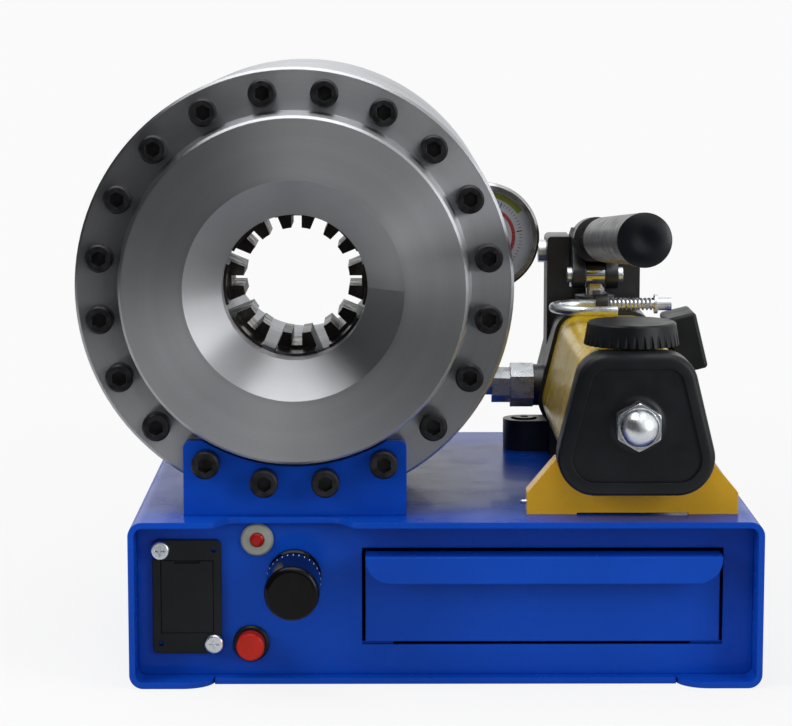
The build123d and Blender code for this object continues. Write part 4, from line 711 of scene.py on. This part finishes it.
def calculated(tree, operation, first, second):
    """One arithmetic step on two sockets."""
    node = tree.nodes.new("ShaderNodeMath")
    node.operation = operation
    tree.links.new(first, node.inputs[0])
    tree.links.new(second, node.inputs[1])
    return node.outputs[0]


def shader_mix(tree, share, first, second):
    """Two shaders, with as much of the second as share says."""
    node = tree.nodes.new("ShaderNodeMixShader")
    tree.links.new(share, node.inputs["Fac"])
    tree.links.new(first, node.inputs[1])
    tree.links.new(second, node.inputs[2])
    return node.outputs[0]


def floor_paint():
    """Matt pale paint, with a glow seen only by the camera that takes over further out."""
    paint = bpy.data.materials.new("floor_paint")
    paint.use_nodes = True
    tree = paint.node_tree
    shader = tree.nodes["Principled BSDF"]
    shader.inputs["Base Color"].default_value = (0.6, 0.6, 0.6, 1)
    shader.inputs["Roughness"].default_value = 0.9
    shader.inputs["Specular IOR Level"].default_value = 0.1
    where = tree.nodes.new("ShaderNodeTexCoord")
    away = tree.nodes.new("ShaderNodeVectorMath")
    away.operation = "LENGTH"
    tree.links.new(where.outputs["Object"], away.inputs[0])

    def fade(near, far):
        return eased(tree, away.outputs["Value"], SHADOW_REACH, FLOOR_FADED, near, far)

    glow = tree.nodes.new("ShaderNodeEmission")
    tree.links.new(fade(1.03, PALE), glow.inputs["Strength"])
    path = tree.nodes.new("ShaderNodeLightPath")
    share = calculated(tree, "MULTIPLY", fade(0.8, 1.0), path.outputs["Is Camera Ray"])
    surface = shader_mix(tree, share, shader.outputs[0], glow.outputs[0])
    tree.links.new(surface, tree.nodes["Material Output"].inputs["Surface"])
    return paint


def studio_floor():
    """Pale floor that keeps the shadow near the object and fades into the background further out."""
    size, middle_y, drop = 8, 3.4, 0.0002
    start()
    bpy.ops.mesh.primitive_plane_add(size=size, location=(0, middle_y, -drop))
    floor = bpy.context.object
    floor.name = "studio_floor"
    floor.data.materials.append(floor_paint())
    bpy.ops.object.transform_apply(location=True, rotation=True, scale=True)


def studio_world():
    """White background and soft light.

    Polished faces see a room that is darker low down and to the left.
    """
    world = bpy.data.worlds.new("studio")
    bpy.context.scene.world = world
    world.use_nodes = True
    tree = world.node_tree
    tree.nodes.clear()

    def background(strength):
        node = tree.nodes.new("ShaderNodeBackground")
        node.inputs["Color"].default_value = (1, 1, 1, 1)
        node.inputs["Strength"].default_value = strength
        return node

    where = tree.nodes.new("ShaderNodeTexCoord")
    lean = tree.nodes.new("ShaderNodeVectorMath")
    lean.operation = "DOT_PRODUCT"
    lean.inputs[1].default_value = (0.85, 0, 0.7)
    tree.links.new(where.outputs["Generated"], lean.inputs[0])
    split = tree.nodes.new("ShaderNodeSeparateXYZ")
    tree.links.new(where.outputs["Generated"], split.inputs[0])
    room = eased(tree, lean.outputs["Value"], 0.0, 0.65, 0.07, 1.0)
    behind = eased(tree, split.outputs["Y"], 0.6, 0.9, 0.0, PALE)
    mirrored = background(1)
    tree.links.new(calculated(tree, "MAXIMUM", room, behind), mirrored.inputs["Strength"])
    light = background(0.42)
    seen = background(PALE)
    path = tree.nodes.new("ShaderNodeLightPath")
    polished = calculated(tree, "MAXIMUM", path.outputs["Is Glossy Ray"],
                          path.outputs["Is Transmission Ray"])
    soft = shader_mix(tree, polished, light.outputs[0], mirrored.outputs[0])
    whole = shader_mix(tree, path.outputs["Is Camera Ray"], soft, seen.outputs[0])
    out = tree.nodes.new("ShaderNodeOutputWorld")
    tree.links.new(whole, out.inputs["Surface"])


def soft_lamp(name, place, aim, size, power, shine=True):
    """Rectangular lamp aimed at a point; one without shine leaves no highlight."""
    data = bpy.data.lights.new(name, "AREA")
    data.shape = "RECTANGLE"
    data.size, data.size_y = size
    data.energy = power
    lamp = bpy.data.objects.new(name, data)
    bpy.context.collection.objects.link(lamp)
    lamp.location = place
    lamp.visible_glossy = shine
    lamp.rotation_euler = (Vector(aim) - Vector(place)).to_track_quat("-Z", "Y").to_euler()


def studio_lamps():
    soft_lamp("overhead_lamp", place=(-0.2, -0.3, 1.6), aim=(0, 0, 0.1), size=(1.6, 1.2), power=16)
    soft_lamp("left_lamp", place=(-1.6, -0.9, 0.9), aim=(-0.05, 0, 0.18), size=(0.7, 1.2), power=16,
              shine=False)
    soft_lamp("right_lamp", place=(1.5, -1.2, 0.7), aim=(0.05, 0, 0.15), size=(0.6, 1.0), power=12)


def studio_camera():
    data = bpy.data.cameras.new("studio_camera")
    data.lens = CAMERA_LENS
    data.sensor_width = SENSOR_WIDTH
    camera = bpy.data.objects.new("studio_camera", data)
    bpy.context.collection.objects.link(camera)
    camera.location = CAMERA_PLACE
    camera.rotation_euler = (math.pi / 2 - CAMERA_DIP, 0, CAMERA_TURN)
    bpy.context.scene.camera = camera


dress_nodes()
gauge_face()
size_marks()
grip_end()
tank_cap_moulding()
foot_screw()
lock_spring_coil()
jaw_spring_coils()
studio_floor()
studio_world()
studio_lamps()
studio_camera()

bpy.context.scene.view_settings.view_transform = "Standard"
